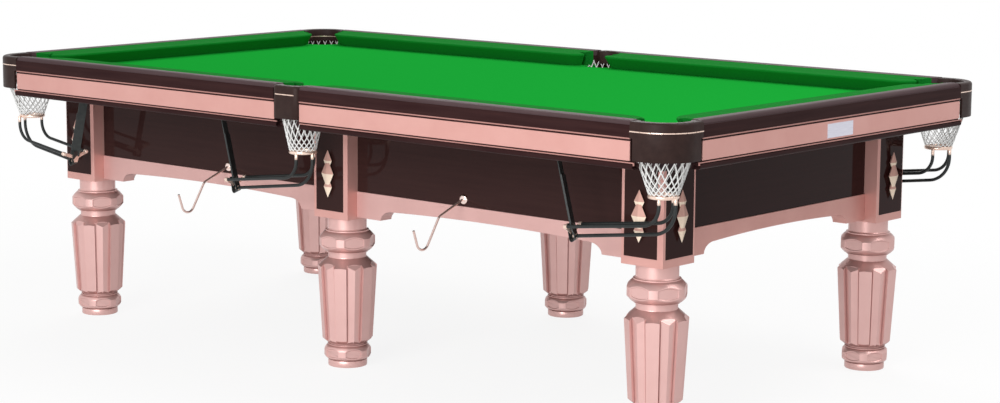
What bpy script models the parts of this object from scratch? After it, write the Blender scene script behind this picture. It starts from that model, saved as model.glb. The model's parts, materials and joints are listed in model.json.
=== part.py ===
"""Heyball table: slate bed on six turned legs, with netted pockets, ball rails and rest hooks.

Metres, +Z up, X along the table. The origin is on the floor under the middle of the bed.
"""

import math

import bmesh
import bpy
from mathutils import Matrix, Vector

# Playing area, measured between the cushion noses
PLAY_LENGTH = 2.540
PLAY_WIDTH = 1.270

# Rail section, outwards from the cushion nose and up or down from the cloth
RAIL_REACH = 0.145
CUSHION_DEPTH = 0.055
NOSE_RISE = 0.0365
NOSE_ROUND = 0.004
CUSHION_FOOT = 0.022
RAIL_RISE = 0.048
RAIL_INNER_RISE = 0.044
SHOULDER_DROP = 0.009
SHOULDER_WIDTH = 0.010
SHOULDER_START = 60
FACE_PROUD = 0.002
BAND_TOP_DROP = 0.0064
BAND_HEIGHT = 0.0518
MOULDING_GAP = 0.006
MOULDING_HEIGHT = 0.0145
MOULDING_SET_IN = 0.004
FASCIA_THICK = 0.028

# Pockets: axis places outside the cushion noses, bores and jaws
CORNER_OFFSET = 0.052
CORNER_BORE_RADIUS = 0.0745
CORNER_MOUTH = 0.085
CORNER_JAW_RADIUS = 0.090
MIDDLE_OFFSET = 0.077
MIDDLE_BORE_RADIUS = 0.0625
MIDDLE_JAW_RADIUS = 0.060
MIDDLE_JAW_START = 0.098

# Pocket caps
CORNER_CAP = 0.1352
CORNER_CAP_ROUND = 0.100
CORNER_CAP_PROUD = 0.003
MIDDLE_CAP_HALF = 0.0536
MIDDLE_CAP_FACE_HALF = 0.040
MIDDLE_CAP_PROUD = 0.011
CAP_RISE = 0.046
CAP_LIP_DEPTH = 0.026
CAP_LIP = 0.007

# Bed and what carries it
CLOTH_THICK = 0.001
SLATE_THICK = 0.0291
SLATE_REACH = 0.112
FRAME_DEPTH = 0.046
BEAM_WIDTH = 0.120
CROSS_BEAM_WIDTH = 0.090
CROSS_BEAMS_PER_HALF = 2

# Posts and aprons
POST_SIZE = 0.142
POST_HEIGHT = 0.295
LEG_INSET_X = 0.231
LEG_INSET_Y = 0.254
PANEL_SIDE = 0.010
PANEL_CORNER_SIDE = 0.017
PANEL_BOTTOM = 0.023
PANEL_DEPTH = 0.004
APRON_SET_BACK = 0.044
APRON_THICK = 0.022
LOWER_RAIL_PROUD = 0.004
LOWER_RAIL_HEIGHT = 0.041
LOWER_RAIL_CLEAR = 0.0415
BRACKET_DROP = 0.035
BRACKET_LENGTH = 0.101
BRACKET_CURVE = 0.047

# Raised ornament on each post panel
ORNAMENT_HALF_HEIGHT = 0.071
ORNAMENT_LOBE = 0.037
ORNAMENT_NOTCH = 0.031
ORNAMENT_HALF_WIDTH = 0.029
ORNAMENT_LOBE_HALF_WIDTH = 0.020
ORNAMENT_NOTCH_HALF_WIDTH = 0.015
ORNAMENT_LOBE_RAISE = 0.0104
ORNAMENT_NOTCH_RAISE = 0.008
ORNAMENT_RAISE = 0.016
ORNAMENT_RISE = 0.136

# Legs, listed from the foot up
STAVES = 6
STAVE_HALF_ANGLE = math.radians(16)
LOW_BULGE_HEIGHT = 0.044
LOW_BULGE_RADIUS = 0.073
LOW_BULGE_FLAT = 0.068
LOW_BULGE_END_RADIUS = 0.060
LOW_NECK_HEIGHT = 0.007
LOW_NECK_RADIUS = 0.059
LOW_CHAMFER_HEIGHT = 0.0222
BODY_HEIGHT = 0.215
BODY_LOW_RADIUS = 0.0785
BODY_TOP_RADIUS = 0.0905
RIDGE_RAISE = 0.005
SHOULDER_HEIGHT = 0.030
WAIST_HEIGHT = 0.016
WAIST_RADIUS = 0.058
BULGE_HEIGHT = 0.063
BULGE_RADIUS = 0.0860
BULGE_FLAT = 0.0800
BULGE_END_RADIUS = 0.064
NECK_HEIGHT = 0.0432
NECK_RADIUS = 0.0595

# Levelling feet
FOOT_HEIGHT = 0.021
FOOT_RADIUS = 0.060
FOOT_EDGE = 0.002
STEM_RADIUS = 0.012
STEM_LENGTH = 0.080
STEM_END_SPACE = 0.004

# Nets and ball rails
NET_WALL = 0.0025
NET_TOP_DROP = 0.002
NET_TAPER_DROP = 0.069
NET_BOTTOM_DROP = 0.152
RING_RADIUS = 0.0425
RING_WIDTH = 0.006
RING_HEIGHT = 0.0097
TUBE_RADIUS = 0.005
UPPER_TUBE_SPREAD = 0.038
UPPER_TUBE_BACK = 0.012
UPPER_TUBE_DROP = 0.071
UPPER_TUBE_BEND = 0.058
LOWER_TUBE_DROP = 0.1025
LOWER_TUBE_BEND = 0.075
TUBE_SLOPE = 0.12
TUBE_OVERHANG = 0.012
CORNER_RUN = 0.298
SHORT_CORNER_RUN = 0.215
MIDDLE_RUN = 0.290
END_BAR_SIZE = 0.014
END_BAR_OVERHANG = 0.008
STRAP_WIDTH = 0.026
STRAP_THICK = 0.004
STRAP_LEAN = 0.338
STRAP_TAIL = 0.010

# Rest hooks on the front aprons
HOOK_X = 0.500
HOOK_RISE = 0.106
HOOK_WIRE_RADIUS = 0.003
HOOK_ARM_OUT = 0.105
HOOK_ARM_DROP = 0.039
HOOK_SHANK_OUT = 0.049
HOOK_SHANK_DROP = 0.078
HOOK_BEND_RADIUS = 0.021
HOOK_TIP_LENGTH = 0.058
ROSE_RADIUS = 0.015
ROSE_HEIGHT = 0.007
PIN_RADIUS = 0.004
PIN_LENGTH = 0.014
PIN_END_SPACE = 0.002

# Fits
SEAT_GAP = 0.0003
STEM_CLEARANCE = 0.0003
PIN_CLEARANCE = 0.0003
CAP_GAP = 0.0004

# Facets
BORE_SIDES = 32
TURNED_SIDES = 16
FOOT_SIDES = 20
HOOK_SIDES = 12
ARC_STEPS = 5
EDGE_STEPS = 4
SHARP_ANGLE = math.radians(35)
LOW_BULGE_STEPS = 4
BULGE_STEPS = 6
CUT_PAST = 0.020
WELD = 0.00001

# Plan, worked out from the sizes above
HALF_X = PLAY_LENGTH / 2 + RAIL_REACH
HALF_Y = PLAY_WIDTH / 2 + RAIL_REACH
LEG_X = HALF_X - LEG_INSET_X
LEG_Y = HALF_Y - LEG_INSET_Y
POST_HALF = POST_SIZE / 2

# Heights, from the floor up
LEG_BOTTOM = FOOT_HEIGHT + SEAT_GAP
LEG_SECTIONS = (
    LOW_BULGE_HEIGHT,
    LOW_NECK_HEIGHT,
    LOW_CHAMFER_HEIGHT,
    BODY_HEIGHT,
    SHOULDER_HEIGHT,
    WAIST_HEIGHT,
    BULGE_HEIGHT,
    NECK_HEIGHT,
)
LEG_TOP = LEG_BOTTOM + sum(LEG_SECTIONS)
POST_BOTTOM = LEG_TOP + SEAT_GAP
POST_TOP = POST_BOTTOM + POST_HEIGHT
FRAME_BOTTOM = POST_TOP + SEAT_GAP
FRAME_TOP = FRAME_BOTTOM + FRAME_DEPTH
SLATE_BOTTOM = FRAME_TOP + SEAT_GAP
SLATE_TOP = SLATE_BOTTOM + SLATE_THICK
CLOTH_BOTTOM = SLATE_TOP + SEAT_GAP
BED = CLOTH_BOTTOM + CLOTH_THICK
RAIL_SEAT = BED + SEAT_GAP
BAND_TOP = BED - BAND_TOP_DROP
BAND_BOTTOM = BAND_TOP - BAND_HEIGHT
MOULDING_TOP = BAND_BOTTOM - MOULDING_GAP
RAIL_BOTTOM = MOULDING_TOP - MOULDING_HEIGHT
NET_BOTTOM = BED - NET_BOTTOM_DROP
RING_TOP = NET_BOTTOM - SEAT_GAP
RING_BOTTOM = RING_TOP - RING_HEIGHT

# Pockets: name, axis place, bore radius, way the ball rail runs, its length
CORNER_X = PLAY_LENGTH / 2 + CORNER_OFFSET
CORNER_Y = PLAY_WIDTH / 2 + CORNER_OFFSET
MIDDLE_Y = PLAY_WIDTH / 2 + MIDDLE_OFFSET
POCKETS = (
    ("front_left", -CORNER_X, -CORNER_Y, CORNER_BORE_RADIUS, 1, SHORT_CORNER_RUN),
    ("front_middle", 0, -MIDDLE_Y, MIDDLE_BORE_RADIUS, -1, MIDDLE_RUN),
    ("front_right", CORNER_X, -CORNER_Y, CORNER_BORE_RADIUS, -1, CORNER_RUN),
    ("back_left", -CORNER_X, CORNER_Y, CORNER_BORE_RADIUS, 1, CORNER_RUN),
    ("back_middle", 0, MIDDLE_Y, MIDDLE_BORE_RADIUS, 1, MIDDLE_RUN),
    ("back_right", CORNER_X, CORNER_Y, CORNER_BORE_RADIUS, -1, SHORT_CORNER_RUN),
)
STATIONS = (
    ("front_left", -1, -1),
    ("front_middle", 0, -1),
    ("front_right", 1, -1),
    ("back_left", -1, 1),
    ("back_middle", 0, 1),
    ("back_right", 1, 1),
)
OUTWARD = {
    "front": Vector((0, -1, 0)),
    "back": Vector((0, 1, 0)),
    "left": Vector((-1, 0, 0)),
    "right": Vector((1, 0, 0)),
}
ALONG = {
    "front": Vector((1, 0, 0)),
    "back": Vector((1, 0, 0)),
    "left": Vector((0, 1, 0)),
    "right": Vector((0, 1, 0)),
}


def new_collection(name):
    collection = bpy.data.collections.new(name)
    bpy.context.scene.collection.children.link(collection)
    return collection


def finish(name, colour, roughness, metallic=0.0):
    material = bpy.data.materials.new(name)
    material.use_nodes = True
    shader = material.node_tree.nodes["Principled BSDF"]
    shader.inputs["Base Color"].default_value = (*colour, 1)
    shader.inputs["Roughness"].default_value = roughness
    shader.inputs["Metallic"].default_value = metallic
    return material


def place(name, mesh, material, matrix=None):
    """A node of the table from a mesh."""
    mesh.materials.clear()
    mesh.materials.append(material)
    obj = bpy.data.objects.new(name, mesh)
    obj.matrix_world = matrix or Matrix()
    table.objects.link(obj)
    return obj


def helper(name, mesh, matrix=None):
    """A hidden solid that cuts or joins a node."""
    obj = bpy.data.objects.new(name, mesh)
    obj.matrix_world = matrix or Matrix()
    obj.hide_render = True
    obj.display_type = "WIRE"
    cutters.objects.link(obj)
    return obj


def boolean(obj, other, operation):
    modifier = obj.modifiers.new(other.name, "BOOLEAN")
    modifier.operation = operation
    modifier.object = other
    modifier.solver = "EXACT"


def cut(obj, other):
    boolean(obj, other, "DIFFERENCE")


def join(obj, other):
    boolean(obj, other, "UNION")


def evaluated_mesh(obj):
    """The shape of a curve or a turned profile as a welded mesh; the object is removed."""
    bpy.context.scene.collection.objects.link(obj)
    bpy.context.view_layer.update()
    graph = bpy.context.evaluated_depsgraph_get()
    mesh = bpy.data.meshes.new_from_object(obj.evaluated_get(graph))
    solid = bmesh.new()
    solid.from_mesh(mesh)
    bmesh.ops.remove_doubles(solid, verts=solid.verts, dist=WELD)
    bmesh.ops.recalc_face_normals(solid, faces=solid.faces)
    solid.to_mesh(mesh)
    solid.free()
    bpy.data.objects.remove(obj)
    return mesh


def poly_curve(points, dimensions, cyclic):
    curve = bpy.data.curves.new("outline", "CURVE")
    curve.dimensions = dimensions
    spline = curve.splines.new("POLY")
    spline.points.add(len(points) - 1)
    for point, co in zip(spline.points, points):
        point.co = (*co, 1) if dimensions == "3D" else (*co, 0, 1)
    spline.use_cyclic_u = cyclic
    return curve


def plate(outline, thickness):
    """A flat outline in local XY with the given thickness, centred on its plane."""
    curve = poly_curve(outline, "2D", True)
    curve.fill_mode = "BOTH"
    curve.extrude = thickness / 2
    return evaluated_mesh(bpy.data.objects.new("plate", curve))


def tube(points, radius):
    curve = poly_curve(points, "3D", False)
    curve.bevel_depth = radius
    curve.bevel_resolution = 1
    curve.use_fill_caps = True
    return evaluated_mesh(bpy.data.objects.new("tube", curve))


def turned(profile, sides, closed=False):
    """A profile of (radius, height) points, top to bottom down the outer side, turned about Z."""
    mesh = bpy.data.meshes.new("profile")
    edges = [(i, i + 1) for i in range(len(profile) - 1)]
    if closed:
        edges.append((len(profile) - 1, 0))
    mesh.from_pydata([(radius, 0, height) for radius, height in profile], edges, [])
    obj = bpy.data.objects.new("turned", mesh)
    screw = obj.modifiers.new("turn", "SCREW")
    screw.steps = sides
    screw.render_steps = sides
    screw.use_merge_vertices = True
    screw.merge_threshold = WELD
    solid = evaluated_mesh(obj)
    solid.shade_smooth()
    solid.set_sharp_from_angle(angle=SHARP_ANGLE)
    return solid


def box(low, high):
    solid = bmesh.new()
    bmesh.ops.create_cube(solid, size=1)
    low, high = Vector(low), Vector(high)
    bmesh.ops.scale(solid, vec=high - low, verts=solid.verts)
    bmesh.ops.translate(solid, vec=(low + high) / 2, verts=solid.verts)
    mesh = bpy.data.meshes.new("box")
    solid.to_mesh(mesh)
    solid.free()
    return mesh


def cylinder(radius, bottom, top, sides):
    solid = bmesh.new()
    middle = Matrix.Translation((0, 0, (bottom + top) / 2))
    bmesh.ops.create_cone(solid, cap_ends=True, segments=sides, radius1=radius, radius2=radius,
                          depth=top - bottom, matrix=middle)
    mesh = bpy.data.meshes.new("cylinder")
    solid.to_mesh(mesh)
    solid.free()
    return mesh


def arc(centre, radius_x, radius_y, start, end, steps):
    """Points of an elliptical arc from one angle to another, in degrees."""
    angles = [math.radians(start + (end - start) * i / steps) for i in range(steps + 1)]
    return [(centre[0] + radius_x * math.cos(a), centre[1] + radius_y * math.sin(a)) for a in angles]


def side_point(side, out, run):
    """A floor-level point of a side, from the cushion nose line outwards and along the side."""
    outward = OUTWARD[side]
    nose = abs(outward.x) * PLAY_LENGTH / 2 + abs(outward.y) * PLAY_WIDTH / 2
    return outward * (nose + out) + ALONG[side] * run


def upright(x_axis, z_axis, origin):
    """Stands a plate up: its outline's X along x_axis, its Y upwards, its thickness along z_axis."""
    axes = Matrix((x_axis, (0, 0, 1), z_axis)).transposed().to_4x4()
    return Matrix.Translation(origin) @ axes


def section_frame(side, run):
    """For a rail section drawn outwards and up, run along its side."""
    outward = OUTWARD[side]
    return upright(outward, outward.cross((0, 0, 1)), side_point(side, 0, run))


def pocket_cutters():
    found = {}
    for name, x, y, radius, _, _ in POCKETS:
        mesh = cylinder(radius, RAIL_BOTTOM - CUT_PAST, BED + RAIL_RISE + CUT_PAST, BORE_SIDES)
        found[name] = helper(f"{name}_bore", mesh, Matrix.Translation((x, y, 0)))
    return found


def make_slate_and_cloth():
    """Both have the same plan: corners cut off through the pocket axes, and six round notches."""
    reach_x = PLAY_LENGTH / 2 + SLATE_REACH
    reach_y = PLAY_WIDTH / 2 + SLATE_REACH
    clip = 2 * (SLATE_REACH - CORNER_OFFSET)
    quarter = [(reach_x, reach_y - clip), (reach_x - clip, reach_y)]
    upper = quarter + [(-x, y) for x, y in quarter[::-1]]
    outline = upper + [(-x, -y) for x, y in upper]
    slate = place("slate_bed", plate(outline, SLATE_THICK), stone,
                  Matrix.Translation((0, 0, (SLATE_BOTTOM + SLATE_TOP) / 2)))
    cloth = place("bed_cloth", plate(outline, CLOTH_THICK), baize,
                  Matrix.Translation((0, 0, (CLOTH_BOTTOM + BED) / 2)))
    for bore in bores.values():
        cut(slate, bore)
        cut(cloth, bore)


def make_subframe():
    half = BEAM_WIDTH / 2
    end = LEG_X + POST_HALF
    front = box((-end, -LEG_Y - half, FRAME_BOTTOM), (end, -LEG_Y + half, FRAME_TOP))
    back = box((-end, LEG_Y - half, FRAME_BOTTOM), (end, LEG_Y + half, FRAME_TOP))
    frame = place("subframe", front, bearer)
    join(frame, helper("back_beam", back))
    count = 2 * CROSS_BEAMS_PER_HALF + 1
    reach = end - CROSS_BEAM_WIDTH / 2
    for i in range(count):
        x = -reach + 2 * reach * i / (count - 1)
        low = (x - CROSS_BEAM_WIDTH / 2, -LEG_Y, FRAME_BOTTOM)
        high = (x + CROSS_BEAM_WIDTH / 2, LEG_Y, FRAME_TOP)
        join(frame, helper(f"cross_beam_{i}", box(low, high)))


def rail_profile():
    """Outwards and up from the nose line, starting at the inner top edge and going round outside."""
    out = RAIL_REACH
    top = BED + RAIL_RISE
    face = out + FACE_PROUD
    inner = out - FASCIA_THICK
    shoulder = arc((out - SHOULDER_WIDTH, top - SHOULDER_DROP), SHOULDER_WIDTH + FACE_PROUD, SHOULDER_DROP,
                   SHOULDER_START, 0, EDGE_STEPS)
    moulding = arc((out - MOULDING_SET_IN, (MOULDING_TOP + RAIL_BOTTOM) / 2), MOULDING_SET_IN,
                   MOULDING_HEIGHT / 2, 90, -90, EDGE_STEPS)
    return [
        (CUSHION_DEPTH, BED + RAIL_INNER_RISE),
        (out - SHOULDER_WIDTH, top),
        *shoulder,
        (face, BAND_TOP + MOULDING_GAP),
        (out, BAND_TOP),
        (out, BAND_BOTTOM),
        *moulding,
        (inner, RAIL_BOTTOM),
        (inner, RAIL_SEAT),
        (CUSHION_DEPTH, RAIL_SEAT),
    ]


def cushion_profile():
    back = CUSHION_DEPTH - SEAT_GAP
    nose = BED + NOSE_RISE
    return [
        (back, BED + RAIL_INNER_RISE),
        (NOSE_ROUND, nose + NOSE_ROUND / 2),
        (0, nose - NOSE_ROUND / 2),
        (NOSE_ROUND, nose - 2 * NOSE_ROUND),
        (CUSHION_FOOT, RAIL_SEAT),
        (back, RAIL_SEAT),
    ]


def rail_spans():
    """Each rail: name, side, start and end along the side, and the pockets at those ends."""
    long_end = HALF_X - CORNER_CAP
    short_end = HALF_Y - CORNER_CAP
    return (
        ("front_left", "front", -long_end, -MIDDLE_CAP_HALF, ("front_left", "front_middle")),
        ("front_right", "front", MIDDLE_CAP_HALF, long_end, ("front_middle", "front_right")),
        ("back_left", "back", -long_end, -MIDDLE_CAP_HALF, ("back_left", "back_middle")),
        ("back_right", "back", MIDDLE_CAP_HALF, long_end, ("back_middle", "back_right")),
        ("left_end", "left", -short_end, short_end, ("front_left", "back_left")),
        ("right_end", "right", -short_end, short_end, ("front_right", "back_right")),
    )


def jaw(pocket, side, way):
    """A cushion's round end as (out, run) points, from the nose line to behind the cushion."""
    if pocket.endswith("middle"):
        start, radius = -way * MIDDLE_JAW_START, MIDDLE_JAW_RADIUS
    else:
        corner = PLAY_LENGTH / 2 if side in ("front", "back") else PLAY_WIDTH / 2
        spread = math.sqrt(2) * (CORNER_JAW_RADIUS + CORNER_MOUTH / 2) - CORNER_JAW_RADIUS
        start, radius = way * (corner - spread), CORNER_JAW_RADIUS
    turn = math.degrees(math.acos(1 - CUSHION_DEPTH / radius))
    curve = arc((start, radius), way * radius, radius, -90, turn - 90, ARC_STEPS)
    points = [(-CUT_PAST, start)] + [(out, run) for run, out in curve]
    return points + [(CUSHION_DEPTH + CUT_PAST, points[-1][1])]


def make_rails_and_cushions():
    profile = rail_profile()
    pad = cushion_profile()
    height = Matrix.Translation((0, 0, BED + RAIL_RISE / 2))
    for name, side, start, end, pockets in rail_spans():
        frame = section_frame(side, (start + end) / 2)
        rail = place(f"rail_{name}", plate(profile, end - start), dark_gloss, frame)
        cushion = place(f"cushion_{name}", plate(pad, end - start + 2 * CORNER_CAP), baize, frame)
        plan = jaw(pockets[0], side, -1)[::-1] + jaw(pockets[1], side, 1)
        outline = [side_point(side, out, run).xy for out, run in plan]
        boolean(cushion, helper(f"{name}_jaws", plate(outline, 2 * RAIL_RISE), height), "INTERSECT")
        for pocket in pockets:
            cut(rail, bores[pocket])
            cut(cushion, bores[pocket])


def make_corner_cap(name, x, y):
    sx, sy = math.copysign(1, x), math.copysign(1, y)
    outer = CORNER_CAP + CORNER_CAP_PROUD
    middle = outer - CORNER_CAP_ROUND
    rounded = arc((middle, middle), CORNER_CAP_ROUND, CORNER_CAP_ROUND, 0, 90, ARC_STEPS)
    outline = [(CAP_GAP, CAP_GAP), (outer, CAP_GAP), *rounded, (CAP_GAP, outer)]
    plan = [(sx * (HALF_X - CORNER_CAP + px), sy * (HALF_Y - CORNER_CAP + py)) for px, py in outline]
    bored_cap(name, plan, x, y, CORNER_BORE_RADIUS)


def make_middle_cap(name, y):
    sy = math.copysign(1, y)
    half = MIDDLE_CAP_HALF - CAP_GAP
    face = HALF_Y + MIDDLE_CAP_PROUD
    inner = PLAY_WIDTH / 2 + SLATE_REACH + CAP_GAP
    outline = [(-half, inner), (half, inner), (half, HALF_Y), (MIDDLE_CAP_FACE_HALF, face),
               (-MIDDLE_CAP_FACE_HALF, face), (-half, HALF_Y)]
    bored_cap(name, [(px, sy * py) for px, py in outline], 0, y, MIDDLE_BORE_RADIUS)


def bored_cap(name, plan, x, y, radius):
    """A cap of the given plan, bored for the net, with a lip left round the top of the bore."""
    top = BED + CAP_RISE
    bottom = BAND_BOTTOM - CUT_PAST
    middle = Matrix.Translation((0, 0, (BAND_BOTTOM + top) / 2))
    cap = place(f"cap_{name}", plate(plan, top - BAND_BOTTOM), cap_dark, middle)
    at = Matrix.Translation((x, y, 0))
    bore = cylinder(radius, bottom, top - CAP_LIP_DEPTH, BORE_SIDES)
    cut(cap, helper(f"{name}_cap_bore", bore, at))
    mouth = cylinder(radius - CAP_LIP, bottom, top + CUT_PAST, BORE_SIDES)
    cut(cap, helper(f"{name}_cap_mouth", mouth, at))


def make_net(name, x, y, radius):
    """A round basket: straight through the bed, then drawn in to the ring."""
    top = radius * math.cos(math.pi / BORE_SIDES) - SEAT_GAP
    z_top = BED - CLOTH_THICK - NET_TOP_DROP
    z_taper = BED - NET_TAPER_DROP
    low = RING_RADIUS + NET_WALL / 2
    profile = [(top, z_top), (top, z_taper), (low, NET_BOTTOM), (low - NET_WALL, NET_BOTTOM),
               (top - NET_WALL, z_taper), (top - NET_WALL, z_top)]
    basket = turned(profile, TURNED_SIDES, closed=True)
    place(f"net_{name}", basket, cord_white, Matrix.Translation((x, y, 0)))


def tube_path(back, spread, drop, bend, run):
    """A ball rail tube: down from the ring, round a bend, then along with a gentle fall."""
    slope = math.atan(TUBE_SLOPE)
    top = RING_TOP - RING_HEIGHT / 2
    start = RING_BOTTOM - drop + bend
    turn = math.pi / 2 - slope
    points = [(-back, spread, top), (-back, spread, start)]
    for i in range(1, ARC_STEPS + 1):
        a = turn * i / ARC_STEPS
        points.append((-back + bend - bend * math.cos(a), spread, start - bend * math.sin(a)))
    last = points[-1]
    points.append((run, spread, last[2] - (run - last[0]) * TUBE_SLOPE))
    return points


def make_ball_rail(name, x, y, way, run):
    """Ring, three tubes, end bar and stop strap, in the pocket's own along and out directions."""
    side = math.copysign(1, y)
    turn = Matrix(((way, 0, 0), (0, side, 0), (0, 0, 1))).to_4x4()
    at = Matrix.Translation((x, y, 0))
    half = RING_WIDTH / 2
    profile = [(RING_RADIUS + half, RING_TOP), (RING_RADIUS + half, RING_BOTTOM),
               (RING_RADIUS - half, RING_BOTTOM), (RING_RADIUS - half, RING_TOP)]
    rail = place(f"ball_rail_{name}", turned(profile, TURNED_SIDES, closed=True), tube_black, at)
    upper = tube_path(UPPER_TUBE_BACK, UPPER_TUBE_SPREAD, UPPER_TUBE_DROP, UPPER_TUBE_BEND,
                      run + TUBE_OVERHANG)
    inner = [(a, -o, z) for a, o, z in upper]
    lower = tube_path(RING_RADIUS, 0, LOWER_TUBE_DROP, LOWER_TUBE_BEND, run)
    for label, path in (("outer", upper), ("inner", inner), ("lower", lower)):
        world = [turn @ Vector(point) for point in path]
        join(rail, helper(f"{name}_{label}_tube", tube(world, TUBE_RADIUS), at))
    upper_end = upper[-1][2] + TUBE_OVERHANG * TUBE_SLOPE
    lower_end = lower[-1][2]
    reach = UPPER_TUBE_SPREAD + END_BAR_OVERHANG
    bar = END_BAR_SIZE / 2
    bar_mesh = oriented_box(turn, (run - bar, -reach, upper_end - bar), (run + bar, reach, upper_end + bar))
    join(rail, helper(f"{name}_end_bar", bar_mesh, at))
    bottom = lower_end - STRAP_TAIL
    top = SLATE_BOTTOM - SEAT_GAP
    shift = STRAP_LEAN * (top - bottom)
    outline = [(run - STRAP_THICK, bottom), (run + STRAP_THICK, bottom), (run + STRAP_THICK + shift, top),
               (run - STRAP_THICK + shift, top)]
    strap = plate([(way * a, z) for a, z in outline], STRAP_WIDTH)
    join(rail, helper(f"{name}_strap", strap, at @ Matrix.Rotation(math.pi / 2, 4, "X")))


def oriented_box(turn, low, high):
    corners = [turn @ Vector(low), turn @ Vector(high)]
    return box([min(c[i] for c in corners) for i in range(3)], [max(c[i] for c in corners) for i in range(3)])


def ornament_mesh():
    """A faceted stack of three lobes: local X across, local Y up, raised along local Z."""
    upper = ((0, ORNAMENT_HALF_HEIGHT, 0), (ORNAMENT_LOBE_HALF_WIDTH, ORNAMENT_LOBE, ORNAMENT_LOBE_RAISE),
             (ORNAMENT_NOTCH_HALF_WIDTH, ORNAMENT_NOTCH, ORNAMENT_NOTCH_RAISE),
             (ORNAMENT_HALF_WIDTH, 0, ORNAMENT_RAISE))
    rows = [*upper, *[(width, -height, rise) for width, height, rise in upper[-2::-1]]]
    solid = bmesh.new()
    spine = [solid.verts.new((0, height, rise)) for _, height, rise in rows]
    right = [solid.verts.new((width, height, 0)) for width, height, _ in rows[1:-1]]
    left = [solid.verts.new((-width, height, 0)) for width, height, _ in rows[1:-1]]
    for edge, order in ((right, 1), (left, -1)):
        line = [spine[0], *edge, spine[-1]]
        for i in range(len(rows) - 1):
            corners = dict.fromkeys((spine[i], line[i], line[i + 1], spine[i + 1]))
            solid.faces.new(list(corners)[::-order])
    rim = [spine[0], *right, spine[-1], *left[::-1]]
    base = [solid.verts.new((vert.co.x, vert.co.y, -PANEL_DEPTH)) for vert in rim]
    for i in range(len(rim)):
        j = (i + 1) % len(rim)
        solid.faces.new((rim[i], rim[j], base[j], base[i]))
    solid.faces.new(base)
    bmesh.ops.recalc_face_normals(solid, faces=solid.faces)
    mesh = bpy.data.meshes.new("ornament")
    solid.to_mesh(mesh)
    solid.free()
    return mesh


def make_post(name, sx, sy):
    x, y = sx * LEG_X, sy * LEG_Y
    low = (x - POST_HALF, y - POST_HALF, POST_BOTTOM)
    high = (x + POST_HALF, y + POST_HALF, POST_TOP)
    post = place(f"post_{name}", box(low, high), rose_gold)
    outward = {"long_side": Vector((0, sy, 0)), "end": Vector((sx, 0, 0))}
    for label, out in outward.items():
        if out.length:
            add_panel(post, f"{name}_{label}", Vector((x, y, POST_BOTTOM)), out, Vector((sx, sy, 0)))


def add_panel(post, label, base, out, corner):
    """A recess in one face of a post, wider framed at the table's corner, with its ornament."""
    across = Vector((0, 0, 1)).cross(out)
    edges = []
    for way in (-1, 1):
        at_corner = corner.x and (across * way).dot(corner) > 0
        edges.append(way * (POST_HALF - (PANEL_CORNER_SIDE if at_corner else PANEL_SIDE)))
    left, right = edges
    outline = [(left, PANEL_BOTTOM), (right, PANEL_BOTTOM), (right, POST_HEIGHT - PANEL_BOTTOM),
               (left, POST_HEIGHT - PANEL_BOTTOM)]
    face = base + out * POST_HALF
    recess = plate(outline, 2 * PANEL_DEPTH)
    cut(post, helper(f"{label}_recess", recess, upright(across, out, face)))
    seat = face - out * PANEL_DEPTH + across * (left + right) / 2 + Vector((0, 0, ORNAMENT_RISE))
    join(post, helper(f"{label}_ornament", ornament_mesh(), upright(across, out, seat)))


def apron_outline(length, top):
    """Along the apron and up from the post's bottom, with a bracket curve at both ends."""
    half = length / 2
    drop = LOWER_RAIL_CLEAR - BRACKET_DROP
    middle = half - BRACKET_LENGTH - BRACKET_CURVE
    right = arc((middle, drop), BRACKET_CURVE, BRACKET_DROP, 90, 0, ARC_STEPS) + [(half, drop)]
    left = [(-run, up) for run, up in right[::-1]]
    return [*left, *right, (half, top), (-half, top)]


def make_apron(name, side, start, end):
    """A panel set back between two posts, with a proud lower rail."""
    length = end - start - 2 * SEAT_GAP
    outward = OUTWARD[side]
    across = Vector((0, 0, 1)).cross(outward)
    face = abs(outward.x) * LEG_X + abs(outward.y) * LEG_Y + POST_HALF - APRON_SET_BACK
    front = outward * face + ALONG[side] * (start + end) / 2 + Vector((0, 0, POST_BOTTOM))
    panel = plate(apron_outline(length, POST_HEIGHT), APRON_THICK)
    middle = front - outward * APRON_THICK / 2
    apron = place(f"apron_{name}", panel, dark_gloss, upright(across, outward, middle))
    strip = plate(apron_outline(length, LOWER_RAIL_CLEAR + LOWER_RAIL_HEIGHT), 2 * LOWER_RAIL_PROUD)
    join(apron, helper(f"{name}_lower_rail", strip, upright(across, outward, front)))
    return apron


def leg_ring(radius_at):
    """Points round the leg: each stave's edges with its ridge between them."""
    points = []
    step = 2 * math.pi / STAVES
    for stave in range(STAVES):
        centre = math.pi / STAVES + stave * step
        for offset in (-STAVE_HALF_ANGLE, 0, STAVE_HALF_ANGLE):
            radius = radius_at(offset)
            points.append((radius * math.cos(centre + offset), radius * math.sin(centre + offset)))
    return points


def round_ring(radius):
    return leg_ring(lambda offset: radius)


def body_ring(radius):
    """Flat panels between raised ridges: the ridge stands out from the panel edges."""
    return leg_ring(lambda offset: radius - RIDGE_RAISE if offset else radius)


def bulge_rings(bottom, height, end_radius, radius, flat, steps):
    """A round bulge cut by six flats in line with the ridges."""
    rings = []
    for i in range(steps + 1):
        t = 2 * i / steps - 1
        swell = end_radius + (radius - end_radius) * math.sqrt(max(1 - t * t, 0))
        ring = leg_ring(lambda offset, swell=swell: min(swell, flat / math.cos(offset)))
        rings.append((bottom + height * i / steps, ring))
    return rings


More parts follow.
